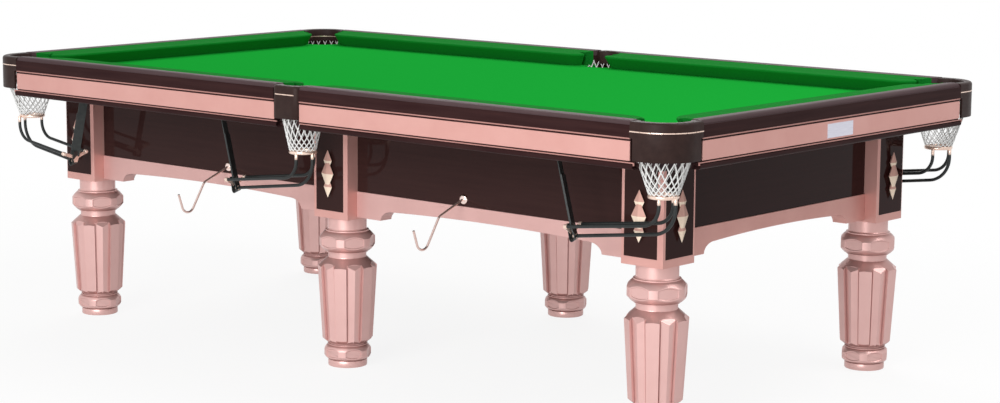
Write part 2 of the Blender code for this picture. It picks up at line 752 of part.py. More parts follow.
def leg_rings():
    z = LEG_BOTTOM
    rings = bulge_rings(z, LOW_BULGE_HEIGHT, LOW_BULGE_END_RADIUS, LOW_BULGE_RADIUS, LOW_BULGE_FLAT,
                        LOW_BULGE_STEPS)
    z += LOW_BULGE_HEIGHT
    rings.append((z, round_ring(LOW_NECK_RADIUS)))
    z += LOW_NECK_HEIGHT
    rings.append((z, round_ring(LOW_NECK_RADIUS)))
    z += LOW_CHAMFER_HEIGHT
    rings.append((z, body_ring(BODY_LOW_RADIUS)))
    z += BODY_HEIGHT
    rings.append((z, body_ring(BODY_TOP_RADIUS)))
    z += SHOULDER_HEIGHT
    rings.append((z, round_ring(WAIST_RADIUS)))
    z += WAIST_HEIGHT
    rings.append((z, round_ring(WAIST_RADIUS)))
    rings += bulge_rings(z, BULGE_HEIGHT, BULGE_END_RADIUS, BULGE_RADIUS, BULGE_FLAT, BULGE_STEPS)
    z += BULGE_HEIGHT
    rings.append((z, round_ring(NECK_RADIUS)))
    z += NECK_HEIGHT
    rings.append((z, round_ring(NECK_RADIUS)))
    return rings


def lofted(rings):
    """A closed solid through rings of equal point counts, bottom to top."""
    solid = bmesh.new()
    loops = [[solid.verts.new((x, y, z)) for x, y in ring] for z, ring in rings]
    count = len(loops[0])
    for low, high in zip(loops, loops[1:]):
        for i in range(count):
            j = (i + 1) % count
            solid.faces.new((low[i], low[j], high[j], high[i]))
    solid.faces.new(loops[0][::-1])
    solid.faces.new(loops[-1])
    mesh = bpy.data.meshes.new("loft")
    solid.to_mesh(mesh)
    solid.free()
    return mesh


def make_leg_and_foot(name, sx, sy):
    x, y = sx * LEG_X, sy * LEG_Y
    at = Matrix.Translation((x, y, 0))
    leg = place(f"leg_{name}", lofted(leg_rings()), rose_gold, at)
    bore_top = FOOT_HEIGHT + STEM_LENGTH + STEM_END_SPACE
    bore = cylinder(STEM_RADIUS + STEM_CLEARANCE, 0, bore_top, FOOT_SIDES)
    cut(leg, helper(f"{name}_stem_bore", bore, at))
    profile = [(0, FOOT_HEIGHT + STEM_LENGTH), (STEM_RADIUS, FOOT_HEIGHT + STEM_LENGTH),
               (STEM_RADIUS, FOOT_HEIGHT), (FOOT_RADIUS - FOOT_EDGE, FOOT_HEIGHT),
               (FOOT_RADIUS, FOOT_HEIGHT - FOOT_EDGE), (FOOT_RADIUS, FOOT_EDGE),
               (FOOT_RADIUS - FOOT_EDGE, 0), (0, 0)]
    place(f"levelling_foot_{name}", turned(profile, FOOT_SIDES), rose_gold, at)


def hook_path():
    """Out and down from the rose, then a J that opens upwards: (out, up) points."""
    bend = Vector((HOOK_ARM_OUT, -HOOK_ARM_DROP))
    low = bend + Vector((HOOK_SHANK_OUT, -HOOK_SHANK_DROP))
    heading = math.atan2(low.y - bend.y, low.x - bend.x)
    centre = low + HOOK_BEND_RADIUS * Vector((-math.sin(heading), math.cos(heading)))
    points = [Vector((0, 0)), bend, low]
    sweep = -2 * heading
    for i in range(1, ARC_STEPS + 1):
        a = heading - math.pi / 2 + sweep * i / ARC_STEPS
        points.append(centre + HOOK_BEND_RADIUS * Vector((math.cos(a), math.sin(a))))
    points.append(points[-1] + HOOK_TIP_LENGTH * Vector((math.cos(-heading), math.sin(-heading))))
    return points


def make_hook(name, x, apron):
    """A wire hook on a round rose; the origin is on the pin that it turns on."""
    face = -(LEG_Y + POST_HALF - APRON_SET_BACK)
    at = Matrix.Translation((x, face, POST_BOTTOM + HOOK_RISE))
    out = Matrix.Rotation(math.pi / 2, 4, "X")
    dome = arc((0, SEAT_GAP), ROSE_RADIUS, ROSE_HEIGHT, 90, 0, EDGE_STEPS)
    pin = [(PIN_RADIUS, SEAT_GAP), (PIN_RADIUS, -PIN_LENGTH), (0, -PIN_LENGTH)]
    dome[0] = (0, dome[0][1])
    hook = place(f"rest_hook_{name}", turned(dome + pin, HOOK_SIDES), steel, at @ out)
    wire = [(0, -o - SEAT_GAP, u) for o, u in hook_path()]
    wire[0] = (0, -SEAT_GAP - ROSE_HEIGHT / 2, 0)
    join(hook, helper(f"{name}_wire", tube(wire, HOOK_WIRE_RADIUS), at))
    depth = PIN_LENGTH + PIN_END_SPACE
    bore = cylinder(PIN_RADIUS + PIN_CLEARANCE, -depth, CUT_PAST, HOOK_SIDES)
    cut(apron, helper(f"{name}_pin_bore", bore, at @ out))


for old in list(bpy.data.objects):
    bpy.data.objects.remove(old, do_unlink=True)

table = new_collection("heyball_table")
cutters = new_collection("cutters")
cutters.hide_render = True

rose_gold = finish("rose_gold", (0.80, 0.47, 0.42), 0.35, 0.3)
dark_gloss = finish("dark_gloss", (0.042, 0.025, 0.024), 0.18)
cap_dark = finish("cap_dark", (0.045, 0.036, 0.034), 0.45)
baize = finish("baize", (0.013, 0.38, 0.045), 0.95)
stone = finish("slate", (0.10, 0.10, 0.11), 0.7)
bearer = finish("bearer", (0.25, 0.16, 0.09), 0.7)
cord_white = finish("net_cord", (0.80, 0.80, 0.80), 0.8)
tube_black = finish("tube_black", (0.03, 0.03, 0.032), 0.4)
steel = finish("polished_steel", (0.75, 0.74, 0.72), 0.15, 1.0)

bores = pocket_cutters()
make_slate_and_cloth()
make_subframe()
make_rails_and_cushions()
for pocket_name, pocket_x, pocket_y, pocket_radius, pocket_way, pocket_run in POCKETS:
    if pocket_x:
        make_corner_cap(pocket_name, pocket_x, pocket_y)
    else:
        make_middle_cap(pocket_name, pocket_y)
    make_net(pocket_name, pocket_x, pocket_y, pocket_radius)
    make_ball_rail(pocket_name, pocket_x, pocket_y, pocket_way, pocket_run)
for station_name, station_x, station_y in STATIONS:
    make_leg_and_foot(station_name, station_x, station_y)
    make_post(station_name, station_x, station_y)
inner_x = LEG_X - POST_HALF
inner_y = LEG_Y - POST_HALF
front_left_apron = make_apron("front_left", "front", -inner_x, -POST_HALF)
front_right_apron = make_apron("front_right", "front", POST_HALF, inner_x)
make_apron("back_left", "back", -inner_x, -POST_HALF)
make_apron("back_right", "back", POST_HALF, inner_x)
make_apron("left_end", "left", -inner_y, inner_y)
make_apron("right_end", "right", -inner_y, inner_y)
make_hook("left", -HOOK_X, front_left_apron)
make_hook("right", HOOK_X, front_right_apron)
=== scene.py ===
import json
import math

import bmesh
import bpy
from mathutils import Matrix, Vector


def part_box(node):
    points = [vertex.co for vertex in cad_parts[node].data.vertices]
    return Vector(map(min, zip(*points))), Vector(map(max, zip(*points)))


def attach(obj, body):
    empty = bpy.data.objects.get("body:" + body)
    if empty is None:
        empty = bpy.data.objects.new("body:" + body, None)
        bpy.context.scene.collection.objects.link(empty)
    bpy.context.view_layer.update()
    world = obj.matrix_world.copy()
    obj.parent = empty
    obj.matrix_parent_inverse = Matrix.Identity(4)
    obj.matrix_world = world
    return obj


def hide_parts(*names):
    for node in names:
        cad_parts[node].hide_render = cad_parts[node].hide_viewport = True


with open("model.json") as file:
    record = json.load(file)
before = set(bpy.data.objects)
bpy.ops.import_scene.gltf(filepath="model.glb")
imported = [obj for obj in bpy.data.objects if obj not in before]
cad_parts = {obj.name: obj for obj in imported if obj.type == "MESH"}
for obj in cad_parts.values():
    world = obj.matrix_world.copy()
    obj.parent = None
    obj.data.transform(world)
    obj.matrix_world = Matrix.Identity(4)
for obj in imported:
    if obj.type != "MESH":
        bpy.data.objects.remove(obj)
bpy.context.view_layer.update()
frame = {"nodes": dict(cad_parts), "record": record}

scene = bpy.context.scene
scene.view_settings.view_transform = "Standard"
up = Vector((0, 0, 1))
places = [f"{row}_{column}" for row in ("front", "back") for column in ("left", "middle", "right")]
sides = ("front_left", "front_right", "back_left", "back_right", "left_end", "right_end")


def isMiddle(place):
    return place.endswith("middle")


def isEnd(side):
    return side.endswith("end")


def middle(node):
    low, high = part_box(node)
    return (Vector(low) + Vector(high)) / 2


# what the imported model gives: the bed's height, the cushion noses, the pocket and leg axes
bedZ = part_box("bed_cloth")[1][2]
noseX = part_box("cushion_right_end")[0][0]
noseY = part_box("cushion_back_left")[0][1]
pocketAt = {place: middle("net_" + place) for place in places}
legAt = {place: middle("leg_" + place) for place in places}
print("frame loaded, bed at", round(bedZ, 4))


def axes(across, upward, outward):
    return Matrix((across, upward, outward)).transposed().to_4x4()


# camera

shot = {
    "place": (5.0744, -5.6596, 1.6167),
    "azimuth": 42.4249,
    "elevation": 8.7501,
    "roll": 0.1404,
    "lens": 86.316,
    "sensor": 36,
    "shiftX": 0.06,
}


def makeCamera():
    data = bpy.data.cameras.new("camera")
    data.lens = shot["lens"]
    data.sensor_fit = "HORIZONTAL"
    data.sensor_width = shot["sensor"]
    data.shift_x = shot["shiftX"]
    camera = bpy.data.objects.new("camera", data)
    turn, lift, roll = (math.radians(shot[key]) for key in ("azimuth", "elevation", "roll"))
    back = Vector((math.sin(turn) * math.cos(lift), -math.cos(turn) * math.cos(lift), math.sin(lift)))
    level = Vector((math.cos(turn), math.sin(turn), 0))
    upright = back.cross(level)
    right = math.cos(roll) * level + math.sin(roll) * upright
    top = math.cos(roll) * upright - math.sin(roll) * level
    camera.matrix_world = Matrix.Translation(shot["place"]) @ axes(right, top, back)
    scene.collection.objects.link(camera)
    scene.camera = camera


makeCamera()
print("camera placed")


# finishes

def tone(red, green, blue):  # screen values, 0 to 255, as linear light
    return (*[((c / 255 + 0.055) / 1.055) ** 2.4 if c > 10 else c / 3294.6 for c in (red, green, blue)], 1)


def feed(tree, node, inputs):  # each input takes a value or another node's output
    for key, value in inputs.items():
        if isinstance(value, bpy.types.NodeSocket):
            tree.links.new(value, node.inputs[key])
        else:
            node.inputs[key].default_value = value
    return node


def addNode(tree, kind, inputs=None, **settings):
    node = tree.nodes.new("ShaderNode" + kind)
    for key, value in settings.items():
        setattr(node, key, value)
    return feed(tree, node, inputs or {})


def seenByEye(tree):  # 1 for what is seen straight on or in a mirror, 0 for light that spreads
    path = addNode(tree, "LightPath")
    seen = path.outputs["Is Camera Ray"]
    for ray in ("Is Glossy Ray", "Is Transmission Ray"):
        seen = addNode(tree, "Math", {0: seen, 1: path.outputs[ray]}, operation="MAXIMUM").outputs[0]
    return seen


def pattern(kind, output, inputs, space="Object", stretch=(1, 1, 1), **settings):
    def lay(tree):
        where = addNode(tree, "TexCoord").outputs[space]
        spread = addNode(tree, "Mapping", {"Vector": where, "Scale": stretch})
        return addNode(tree, kind, {**inputs, "Vector": spread.outputs["Vector"]}, **settings).outputs[output]

    return lay


def noise(scale, detail, stretch=(1, 1, 1), space="Object", **more):
    return pattern("TexNoise", "Fac", {"Scale": scale, "Detail": detail, **more}, space, stretch)


def cells(scale):
    return pattern("TexVoronoi", "Distance", {"Scale": scale, "Randomness": 1})


def twist(**inputs):  # strands laid round a cord
    return pattern("TexWave", "Fac", {"Scale": 1, **inputs}, "UV", (240, 2, 1), bands_direction="DIAGONAL")


shaderInputs = {"metal": "Metallic", "gloss": "Specular IOR Level", "sheen": "Sheen Weight",
                "coat": "Coat Weight", "coatRoughness": "Coat Roughness"}


def paint(name, slot, colours, base=None, **own):
    look = {"stops": (0.3, 0.7), **(base or {}), **own}
    material = bpy.data.materials.new(name)
    material.use_nodes = True
    material["slot"] = slot
    tree = material.node_tree
    ramp = addNode(tree, "ValToRGB", {"Fac": look["tint"](tree)})
    elements = ramp.color_ramp.elements
    while len(elements) < len(look["stops"]):
        elements.new(0.5)
    for element, stop, colour in zip(elements, look["stops"], colours):
        element.position = stop
        element.color = tone(*colour)
    colour = ramp.outputs["Color"]
    # painted light by slope: a second colour mixed in by how far the surface normal leans up or down; this
    # gives painted shade on the legs' slopes and a painted reflection on the ornaments' downward facets
    if "lean" in look:  # another tone where the surface leans up or down
        fromZ, toZ, other = look["lean"]
        normal = addNode(tree, "NewGeometry").outputs["Normal"]
        steep = addNode(tree, "SeparateXYZ", {"Vector": normal}).outputs["Z"]
        if look.get("bothWays"):
            steep = addNode(tree, "Math", {0: steep}, operation="ABSOLUTE").outputs[0]
        ease = addNode(tree, "MapRange", {"Value": steep, "From Min": fromZ, "From Max": toZ})
        blend = {0: ease.outputs["Result"], 6: colour, 7: tone(*other)}
        colour = addNode(tree, "Mix", blend, data_type="RGBA").outputs[2]
    least, most = look["roughness"]
    polish = addNode(tree, "MapRange", {"Value": look["polish"](tree), "To Min": least, "To Max": most})
    strength, depth = look["relief"]
    relief = addNode(tree, "Bump", {"Height": look["grain"](tree), "Strength": strength, "Distance": depth})
    shader = {label: look[key] for key, label in shaderInputs.items() if key in look}
    shader["Base Color"] = colour
    shader["Roughness"] = polish.outputs["Result"]
    shader["Normal"] = relief.outputs["Normal"]
    feed(tree, tree.nodes["Principled BSDF"], shader)
    return material


rose = {
    "metal": 0.3, "gloss": 0.08,
    "tint": noise(9, 4),
    "polish": noise(40, 3), "roughness": (0.3, 0.4),
    "grain": noise(700, 2), "relief": (0.06, 0.0004),
}
roseGold = paint("rose_gold", "rose_gold", ((213, 159, 151), (219, 167, 159)), rose)
# painted shade: a duller copy of rose gold for the lower rails of the long sides, which sit in shade
shadedApronRose = paint("shaded_apron_rose", "rose_gold", ((209, 166, 161), (216, 173, 168)), rose)
# painted shade: the lean tone turns faces that lean steeply up or down, such as the shoulder cone and the
# bulges' slopes, a deeper pink
legGold = paint(
    "leg_gold", "rose_gold", ((217, 174, 169), (223, 182, 177)), rose, metal=0.45, gloss=0.12,
    roughness=(0.29, 0.36), lean=(0.64, 0.75, (193, 151, 146)), bothWays=True, relief=(0.05, 0.0003),
)
# the feet take a copy of the leg finish, including its painted shade on faces that lean up or down
footMetal = legGold.copy()
footMetal.name = "foot_metal"
footMetal["slot"] = "foot_metal"
lineGold = paint(
    "line_gold", "rose_gold", ((180, 130, 123), (190, 140, 132)), rose, metal=0.3, gloss=0.15,
    tint=noise(14, 4), polish=noise(60, 3), roughness=(0.3, 0.42),
)
# painted reflection: the lean tone turns the lobes' downward-facing facets a pale cream
ornamentGold = paint(
    "ornament_gold", "rose_gold", ((209, 162, 149), (217, 172, 159)), metal=0.1, gloss=0.1,
    tint=noise(20, 4), lean=(0.02, -0.08, (253, 232, 210)), polish=noise(70, 3), roughness=(0.5, 0.6),
    grain=noise(900, 2), relief=(0.05, 0.0003),
)
paleGold = paint(
    "pale_gold", "rose_gold", ((236, 205, 188), (244, 218, 203)), metal=0.55, coat=0.2, coatRoughness=0.1,
    tint=noise(30, 3), polish=noise(120, 2), roughness=(0.18, 0.26), grain=noise(1500, 2),
    relief=(0.05, 0.0003),
)
lacquer = {
    "stops": (0.25, 0.8),
    "gloss": 0.07,
    "tint": noise(3, 6, (1.2, 26, 1), "UV"),
    "polish": noise(14, 3), "roughness": (0.025, 0.06),
    "grain": noise(6, 4, (2, 60, 1), "UV"), "relief": (0.02, 0.0001),
}
satin = {**lacquer, "stops": (0.25, 0.55, 0.8), "relief": (0.04, 0.0004)}
darkGloss = paint("dark_gloss", "dark_gloss", ((50, 30, 29), (56, 35, 33)), lacquer)
# painted shade: a darker, redder copy of the dark gloss for the panels that face the table's ends
shadedEndGloss = paint("shaded_end_gloss", "dark_gloss", ((45, 19, 18), (50, 23, 22)), lacquer)
railGloss = paint(
    "rail_gloss", "dark_gloss", ((46, 26, 27), (54, 34, 34), (62, 38, 37)), satin, gloss=0.03,
    roughness=(0.29, 0.38),
)
cappingGloss = paint(
    "capping_gloss", "dark_gloss", ((74, 58, 60), (82, 66, 68), (90, 72, 74)), satin, gloss=0.02,
    roughness=(0.3, 0.42),
)
capLeather = paint(
    "cap_dark", "cap_dark", ((45, 30, 28), (54, 38, 35)), gloss=0.12, tint=noise(45, 5),
    polish=noise(60, 3), roughness=(0.38, 0.52), grain=cells(900), relief=(0.25, 0.0004),
)
felt = {
    "gloss": 0.0,
    "tint": noise(420, 6, Roughness=0.7),
    "polish": noise(200, 2), "roughness": (0.88, 0.98),
    "grain": noise(1400, 3), "relief": (0.2, 0.0004),
}
baize = paint("baize", "baize", ((25, 162, 52), (31, 175, 61)), felt)
cushionBaize = paint("cushion_baize", "baize", ((15, 116, 36), (22, 132, 45)), felt, gloss=0.03)
netCord = paint(
    "net_cord", "net_cord", ((222, 222, 221), (250, 250, 248)), stops=(0.1, 0.5), sheen=0.2, gloss=0.3,
    tint=twist(Distortion=0.6), polish=noise(300, 2), roughness=(0.7, 0.9), grain=twist(),
    relief=(0.8, 0.0006),
)
tubeBlack = paint(
    "tube_black", "tube_black", ((30, 33, 33), (38, 42, 42)), gloss=0.3, tint=noise(60, 4),
    polish=noise(90, 3), roughness=(0.3, 0.46), grain=noise(900, 2), relief=(0.1, 0.0003),
)
strapLeather = paint(
    "strap_leather", "tube_black", ((40, 44, 44), (54, 58, 57)), gloss=0.4, tint=noise(70, 5),
    polish=noise(110, 3), roughness=(0.5, 0.68), grain=cells(620), relief=(0.5, 0.0006),
)
bronze = paint(
    "bronze_wire", "polished_steel", ((216, 188, 180), (228, 202, 194)), metal=0.8, tint=noise(80, 3),
    polish=noise(160, 3), roughness=(0.08, 0.15), grain=noise(900, 2), relief=(0.05, 0.0002),
)
chrome = paint(
    "polished_steel", "polished_steel", ((236, 213, 204), (246, 225, 217)), metal=1.0, tint=noise(50, 2),
    polish=noise(160, 3), roughness=(0.08, 0.16), grain=noise(800, 2), relief=(0.03, 0.0002),
)
plateSilver = paint(
    "plate_silver", "polished_steel", ((206, 205, 218), (224, 223, 234)), metal=0.6,
    tint=noise(12, 3, (1, 2, 90)), polish=noise(14, 3, (1, 2, 120)), roughness=(0.28, 0.42),
    grain=noise(10, 2, (1, 3, 300)), relief=(0.05, 0.0003),
)
stone = paint(
    "slate", "slate", ((74, 77, 82), (104, 107, 112)), gloss=0.3, tint=noise(16, 8, (1, 1, 6)),
    polish=noise(30, 4), roughness=(0.6, 0.8), grain=noise(220, 5), relief=(0.3, 0.001),
)
bearer = paint(
    "bearer", "bearer", ((112, 82, 54), (140, 106, 72), (160, 126, 88)), stops=(0.25, 0.5, 0.8), gloss=0.35,
    tint=noise(4, 7, (1, 16, 16)), polish=noise(20, 3), roughness=(0.55, 0.75),
    grain=noise(8, 5, (2, 60, 60)), relief=(0.25, 0.0008),
)
print("finishes painted")


# shapes

def loft(rings, cap=True):  # skin over rings of equal counts; UV in metres along and around
    shape = bmesh.new()
    uv = shape.loops.layers.uv.new("UVMap")
    loops = [[shape.verts.new(point) for point in ring] for ring in rings]
    count = len(loops[0])
    around = [0.0]
    for i in range(count):
        around.append(around[-1] + (Vector(rings[0][(i + 1) % count]) - Vector(rings[0][i])).length)
    far = 0.0
    for low, high in zip(loops, loops[1:]):
        step = sum((a.co - b.co).length for a, b in zip(low, high)) / count
        for i in range(count):
            j = (i + 1) % count
            face = shape.faces.new((low[i], low[j], high[j], high[i]))
            near, away = around[i:i + 2]
            spots = ((far, near), (far, away), (far + step, away), (far + step, near))
            for corner, spot in zip(face.loops, spots):
                corner[uv].uv = spot
        far += step
    if cap:
        shape.faces.new(loops[0][::-1])
        shape.faces.new(loops[-1])
    bmesh.ops.remove_doubles(shape, verts=shape.verts, dist=0.000001)
    bmesh.ops.recalc_face_normals(shape, faces=shape.faces)
    return shape


def prism(outline, low, high, place=Matrix()):
    return loft([[place @ Vector((x, y, z)) for x, y in outline] for z in (low, high)])


def rectangle(x0, y0, x1, y1):
    return [(x0, y0), (x1, y0), (x1, y1), (x0, y1)]


def block(low, high):
    return prism(rectangle(*low[:2], *high[:2]), low[2], high[2])


def turned(profile, steps, place=Matrix()):  # (radius, height) from the bottom up
    angles = [2 * math.pi * i / steps for i in range(steps)]
    return loft([[place @ Vector((r * math.cos(a), r * math.sin(a), z)) for a in angles] for r, z in profile])


def arcPoints(centre, radiusX, radiusY, start, end, steps):
    angles = [math.radians(start + (end - start) * i / steps) for i in range(steps + 1)]
    return [(centre[0] + radiusX * math.cos(a), centre[1] + radiusY * math.sin(a)) for a in angles]


def eased(points, steps):  # a smooth line through the points
    line = []
    ends = [2 * points[0] - points[1], *points, 2 * points[-1] - points[-2]]
    for a, b, c, d in zip(ends, ends[1:], ends[2:], ends[3:]):
        for i in range(steps):
            t = i / steps
            line.append(0.5 * (2 * b + (c - a) * t + (2 * a - 5 * b + 4 * c - d) * t * t
                               + (3 * b - a - 3 * c + d) * t ** 3))
    return [*line, points[-1]]


def rounded(points, radius, steps=6):  # an open line with its corners rounded
    line = [points[0]]
    for a, b, c in zip(points, points[1:], points[2:]):
        reach = min(radius, (a - b).length / 2, (c - b).length / 2)
        p, q = b + (a - b).normalized() * reach, b + (c - b).normalized() * reach
        for i in range(steps + 1):
            t = i / steps
            line.append((1 - t) ** 2 * p + 2 * t * (1 - t) * b + t * t * q)
    return [*line, points[-1]]


def evenly(points, count):  # the same line with points at even steps
    lengths = [0.0]
    for a, b in zip(points, points[1:]):
        lengths.append(lengths[-1] + (b - a).length)
    line, k = [], 0
    for i in range(count + 1):
        want = lengths[-1] * i / count
        while k < len(points) - 2 and lengths[k + 1] < want:
            k += 1
        t = (want - lengths[k]) / max(lengths[k + 1] - lengths[k], 1e-9)
        line.append(points[k].lerp(points[k + 1], t))
    return line


def clamped(value):
    return min(max(value, 0), 1)


def roundSection(radius, count):
    return arcPoints((0, 0), radius, radius, 0, 360 * (count - 1) / count, count - 1)


def spoke(degrees):
    return Vector((math.cos(math.radians(degrees)), math.sin(math.radians(degrees)), 0))


def sweep(points, section, across=None, sizes=None):  # a section carried along a line
    rings = []
    for i, point in enumerate(points):
        ahead = (points[min(i + 1, len(points) - 1)] - points[max(i - 1, 0)]).normalized()
        if across is None:
            across = ahead.orthogonal().normalized() if abs(ahead.z) > 0.9 else ahead.cross(up).normalized()
        across = (across - ahead * across.dot(ahead)).normalized()
        other = ahead.cross(across)
        size = sizes[i] if sizes else 1
        rings.append([point + (across * x + other * y) * size for x, y in section])
    return loft(rings)


def meshFrom(shape, name):
    mesh = bpy.data.meshes.new(name)
    shape.to_mesh(mesh)
    shape.free()
    return mesh


def merged(shapes):
    whole = bmesh.new()
    whole.loops.layers.uv.new("UVMap")
    for shape in shapes:
        mesh = meshFrom(shape, "part")
        whole.from_mesh(mesh)
        bpy.data.meshes.remove(mesh)
    return whole


def loose(shape):
    obj = bpy.data.objects.new("loose", meshFrom(shape, "loose"))
    scene.collection.objects.link(obj)
    return obj


def carved(shape, others, operation="DIFFERENCE"):
    body = loose(shape)
    tools = [loose(other) for other in others]
    for tool in tools:
        step = body.modifiers.new("carve", "BOOLEAN")
        step.operation = operation
        step.object = tool
        step.solver = "EXACT"
    bpy.context.view_layer.update()
    mesh = bpy.data.meshes.new_from_object(body.evaluated_get(bpy.context.evaluated_depsgraph_get()))
    result = bmesh.new()
    result.from_mesh(mesh)
    bpy.data.meshes.remove(mesh)
    for obj in (body, *tools):
        bpy.data.objects.remove(obj)
    return result


def finished(name, shape, finish, smooth):
    mesh = meshFrom(shape, name)
    mesh.shade_smooth()
    mesh.set_sharp_from_angle(angle=math.radians(smooth))
    mesh.materials.clear()
    mesh.materials.append(finish)
    return mesh


def addPiece(name, shape, finish, nodes, body="table", bevel=0, smooth=35, at=(0, 0, 0)):
    isShape = isinstance(shape, bmesh.types.BMesh)
    piece = bpy.data.objects.new(name, finished(name, shape, finish, smooth) if isShape else shape)
    piece.location = at
    scene.collection.objects.link(piece)
    if bevel:
        edge = piece.modifiers.new("edges", "BEVEL")
        edge.width = bevel
        edge.segments = 2
        edge.limit_method = "ANGLE"
        edge.angle_limit = math.radians(smooth)
        edge.harden_normals = True
    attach(piece, body)
    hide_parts(*nodes)
    return piece


def sideAxes(side):  # which way is out, which way is along, and how far out the nose line is
    if isEnd(side):
        return Vector((1 if side.startswith("right") else -1, 0, 0)), Vector((0, 1, 0)), noseX
    return Vector((0, 1 if side.startswith("back") else -1, 0)), Vector((1, 0, 0)), noseY


def sidePoint(side, out, run, rise):
    outward, along, nose = sideAxes(side)
    return outward * (nose + out) + along * run + up * (bedZ + rise)


def sideSpan(side, node):
    along = sideAxes(side)[1]
    low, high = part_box(node)
    return Vector(low).dot(along), Vector(high).dot(along)


def farthest(side, node):  # how far out a solid reaches
    outward = sideAxes(side)[0]
    return max(abs(Vector(corner).dot(outward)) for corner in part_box(node))


def runAlong(side, section, start, end):
    return loft([[sidePoint(side, out, run, rise) for out, rise in section] for run in (start, end)])


# bed: the cloth stretched over the slate and down into the pockets

bedSizes = {
    "reach": 0.112,
    "thick": 0.001,
    "edgeRound": 0.002,
    "clear": 0.0004,
    "lap": 0.016,
    "notchSteps": 40,
    "bores": {"corner": 0.0745, "middle": 0.0625},
    "boreTool": (0.2, 96),  # half its height, and its sides
}
boreOf = {place: bedSizes["bores"]["middle" if isMiddle(place) else "corner"] for place in places}


def bedOutline(shrink):  # round the bed, dipping into each pocket
    steps = bedSizes["notchSteps"]
    points = []
    for place in (*places[:3], *places[:2:-1]):
        x, y, _ = pocketAt[place]
        radius = boreOf[place] - shrink
        facing, half = math.atan2(math.copysign(1, y), math.copysign(1, x)), math.pi / 2
        if isMiddle(place):
            facing = math.pi / 2 * math.copysign(1, y)
            half = math.acos((noseY + bedSizes["reach"] - abs(y)) / radius)
        for i in range(steps + 1):
            a = facing - half - (2 * math.pi - 2 * half) * i / steps
            points.append(Vector((x + radius * math.cos(a), y + radius * math.sin(a), 0)))
    return points


def makeBed():
    s = bedSizes
    flat, turn = bedOutline(-s["edgeRound"]), bedOutline(s["clear"])
    levels = ((flat, 0), (turn, -s["edgeRound"]), (turn, -s["lap"]))
    shape = loft([[point + up * (bedZ + rise) for point in ring] for ring, rise in levels], cap=False)
    rim = [v for v in shape.verts if abs(v.co.z - bedZ) < 0.00001]
    shape.faces.new(sorted(rim, key=lambda v: v.index))
    bmesh.ops.recalc_face_normals(shape, faces=shape.faces)
    cloth = addPiece("stretched_cloth", shape, baize, ["bed_cloth"], smooth=20)
    thick = cloth.modifiers.new("thickness", "SOLIDIFY")
    thick.thickness = s["thick"]
    thick.offset = -1


# rails: dark top rail and board, rose-gold band between two thin lines, dark moulding below

railSizes = {
    "inner": 0.0982,
    "seat": 0.0006,
    "innerRise": 0.0466,
    "innerEase": (0.0015, 0.0012),
    "rise": 0.048,
    "cappingFoot": 0.030,
    "cappingSetBack": 0.0038,
    "joint": 0.0002,
    "reach": 0.145,
    "faceProud": 0.002,
    "faceEase": 0.001,
    "shoulder": 0.017,
    "beadRise": 0.0362,
    "beadSeat": 0.0036,
    "bead": ((0.0034, 0), (0.0012, 0.0002), (0, 0.0014)),  # in and down
    "faceFoot": 0.0025,
    "boardSetBack": 0.003,
    "boardThick": 0.025,
    "boardFoot": -0.065,
    "woodEdge": 0.0004,
    "upperLine": (-0.0015, 0.0023),
    "upperProud": 0.0012,
    "band": (-0.0582, -0.0064),
    "lowerLine": (-0.0652, -0.0618),
    "lowerProud": 0.0002,
    "stripSink": 0.001,
    "lineEnd": 0.011,
    "tick": (0.003, 0.009, 0.0004),  # wide, tall and proud of its line
    "moulding": (-0.0815, -0.0656),
    "mouldingDepth": (0.0012, 0.028),  # out and back
    "mouldingShort": 0.0005,
    "rodEnd": (0.05, 0.6),  # the end's smallest size, and how much of its depth it keeps
    "frieze": (-0.1030, -0.0805),
    "friezeDepth": (0.002, 0.006),  # out and back
    "edge": 0.0008,
}


def cappingSection():
    s = railSizes
    edge = s["reach"] + s["faceProud"] - s["cappingSetBack"]
    foot = s["cappingFoot"] + s["joint"]
    drop = s["rise"] - s["beadRise"]
    easeOut, easeDown = s["innerEase"]
    return [
        (s["inner"], foot),
        (s["inner"], s["innerRise"] - easeDown),
        (s["inner"] + easeOut, s["innerRise"]),
        *arcPoints((edge - s["shoulder"], s["rise"] - drop), s["shoulder"], drop, 90, 6, 8),
        (edge, foot),
    ]


def faceSection():
    s = railSizes
    face, board = s["reach"] + s["faceProud"], s["reach"] - s["boardSetBack"]
    return [
        (s["inner"], s["seat"]),
        (s["inner"], s["cappingFoot"]),
        (face - s["beadSeat"], s["cappingFoot"]),
        *[(face - back, s["beadRise"] - down) for back, down in s["bead"]],
        (face, s["faceFoot"] + s["faceEase"]),
        (face - s["faceEase"], s["faceFoot"]),
        (board, s["faceFoot"]),
        (board, s["boardFoot"]),
        (board - s["boardThick"], s["boardFoot"]),
        (board - s["boardThick"], s["seat"]),
    ]


def stripSection(rises, out, back):
    low, high = rises
    return [(back, low), (out, low), (out, high), (back, high)]


def rod(side, rises, out, back, start, end):  # a half-round moulding with rounded ends
    low, high = rises
    half, centre, midway = (high - low) / 2, (low + high) / 2, (out + back) / 2
    section = [(back, low), *arcPoints((out - half, centre), half, half, -90, 90, 10), (back, high)]
    least, kept = railSizes["rodEnd"]
    swell = [math.sin(math.pi / 2 * i / 6) for i in range(7)]
    rings = [(start + half * (1 - size), max(size, least)) for size in swell]
    rings += [(end - (run - start), size) for run, size in rings[::-1]]
    return loft([[sidePoint(side, midway + (o - midway) * (kept + (1 - kept) * size), run,
                            centre + (r - centre) * size) for o, r in section] for run, size in rings])


def boreTool(place):
    x, y, _ = pocketAt[place]
    tall, steps = bedSizes["boreTool"]
    walls = [(boreOf[place], bedZ + rise) for rise in (-tall, tall)]
    return turned(walls, steps, Matrix.Translation((x, y, 0)))


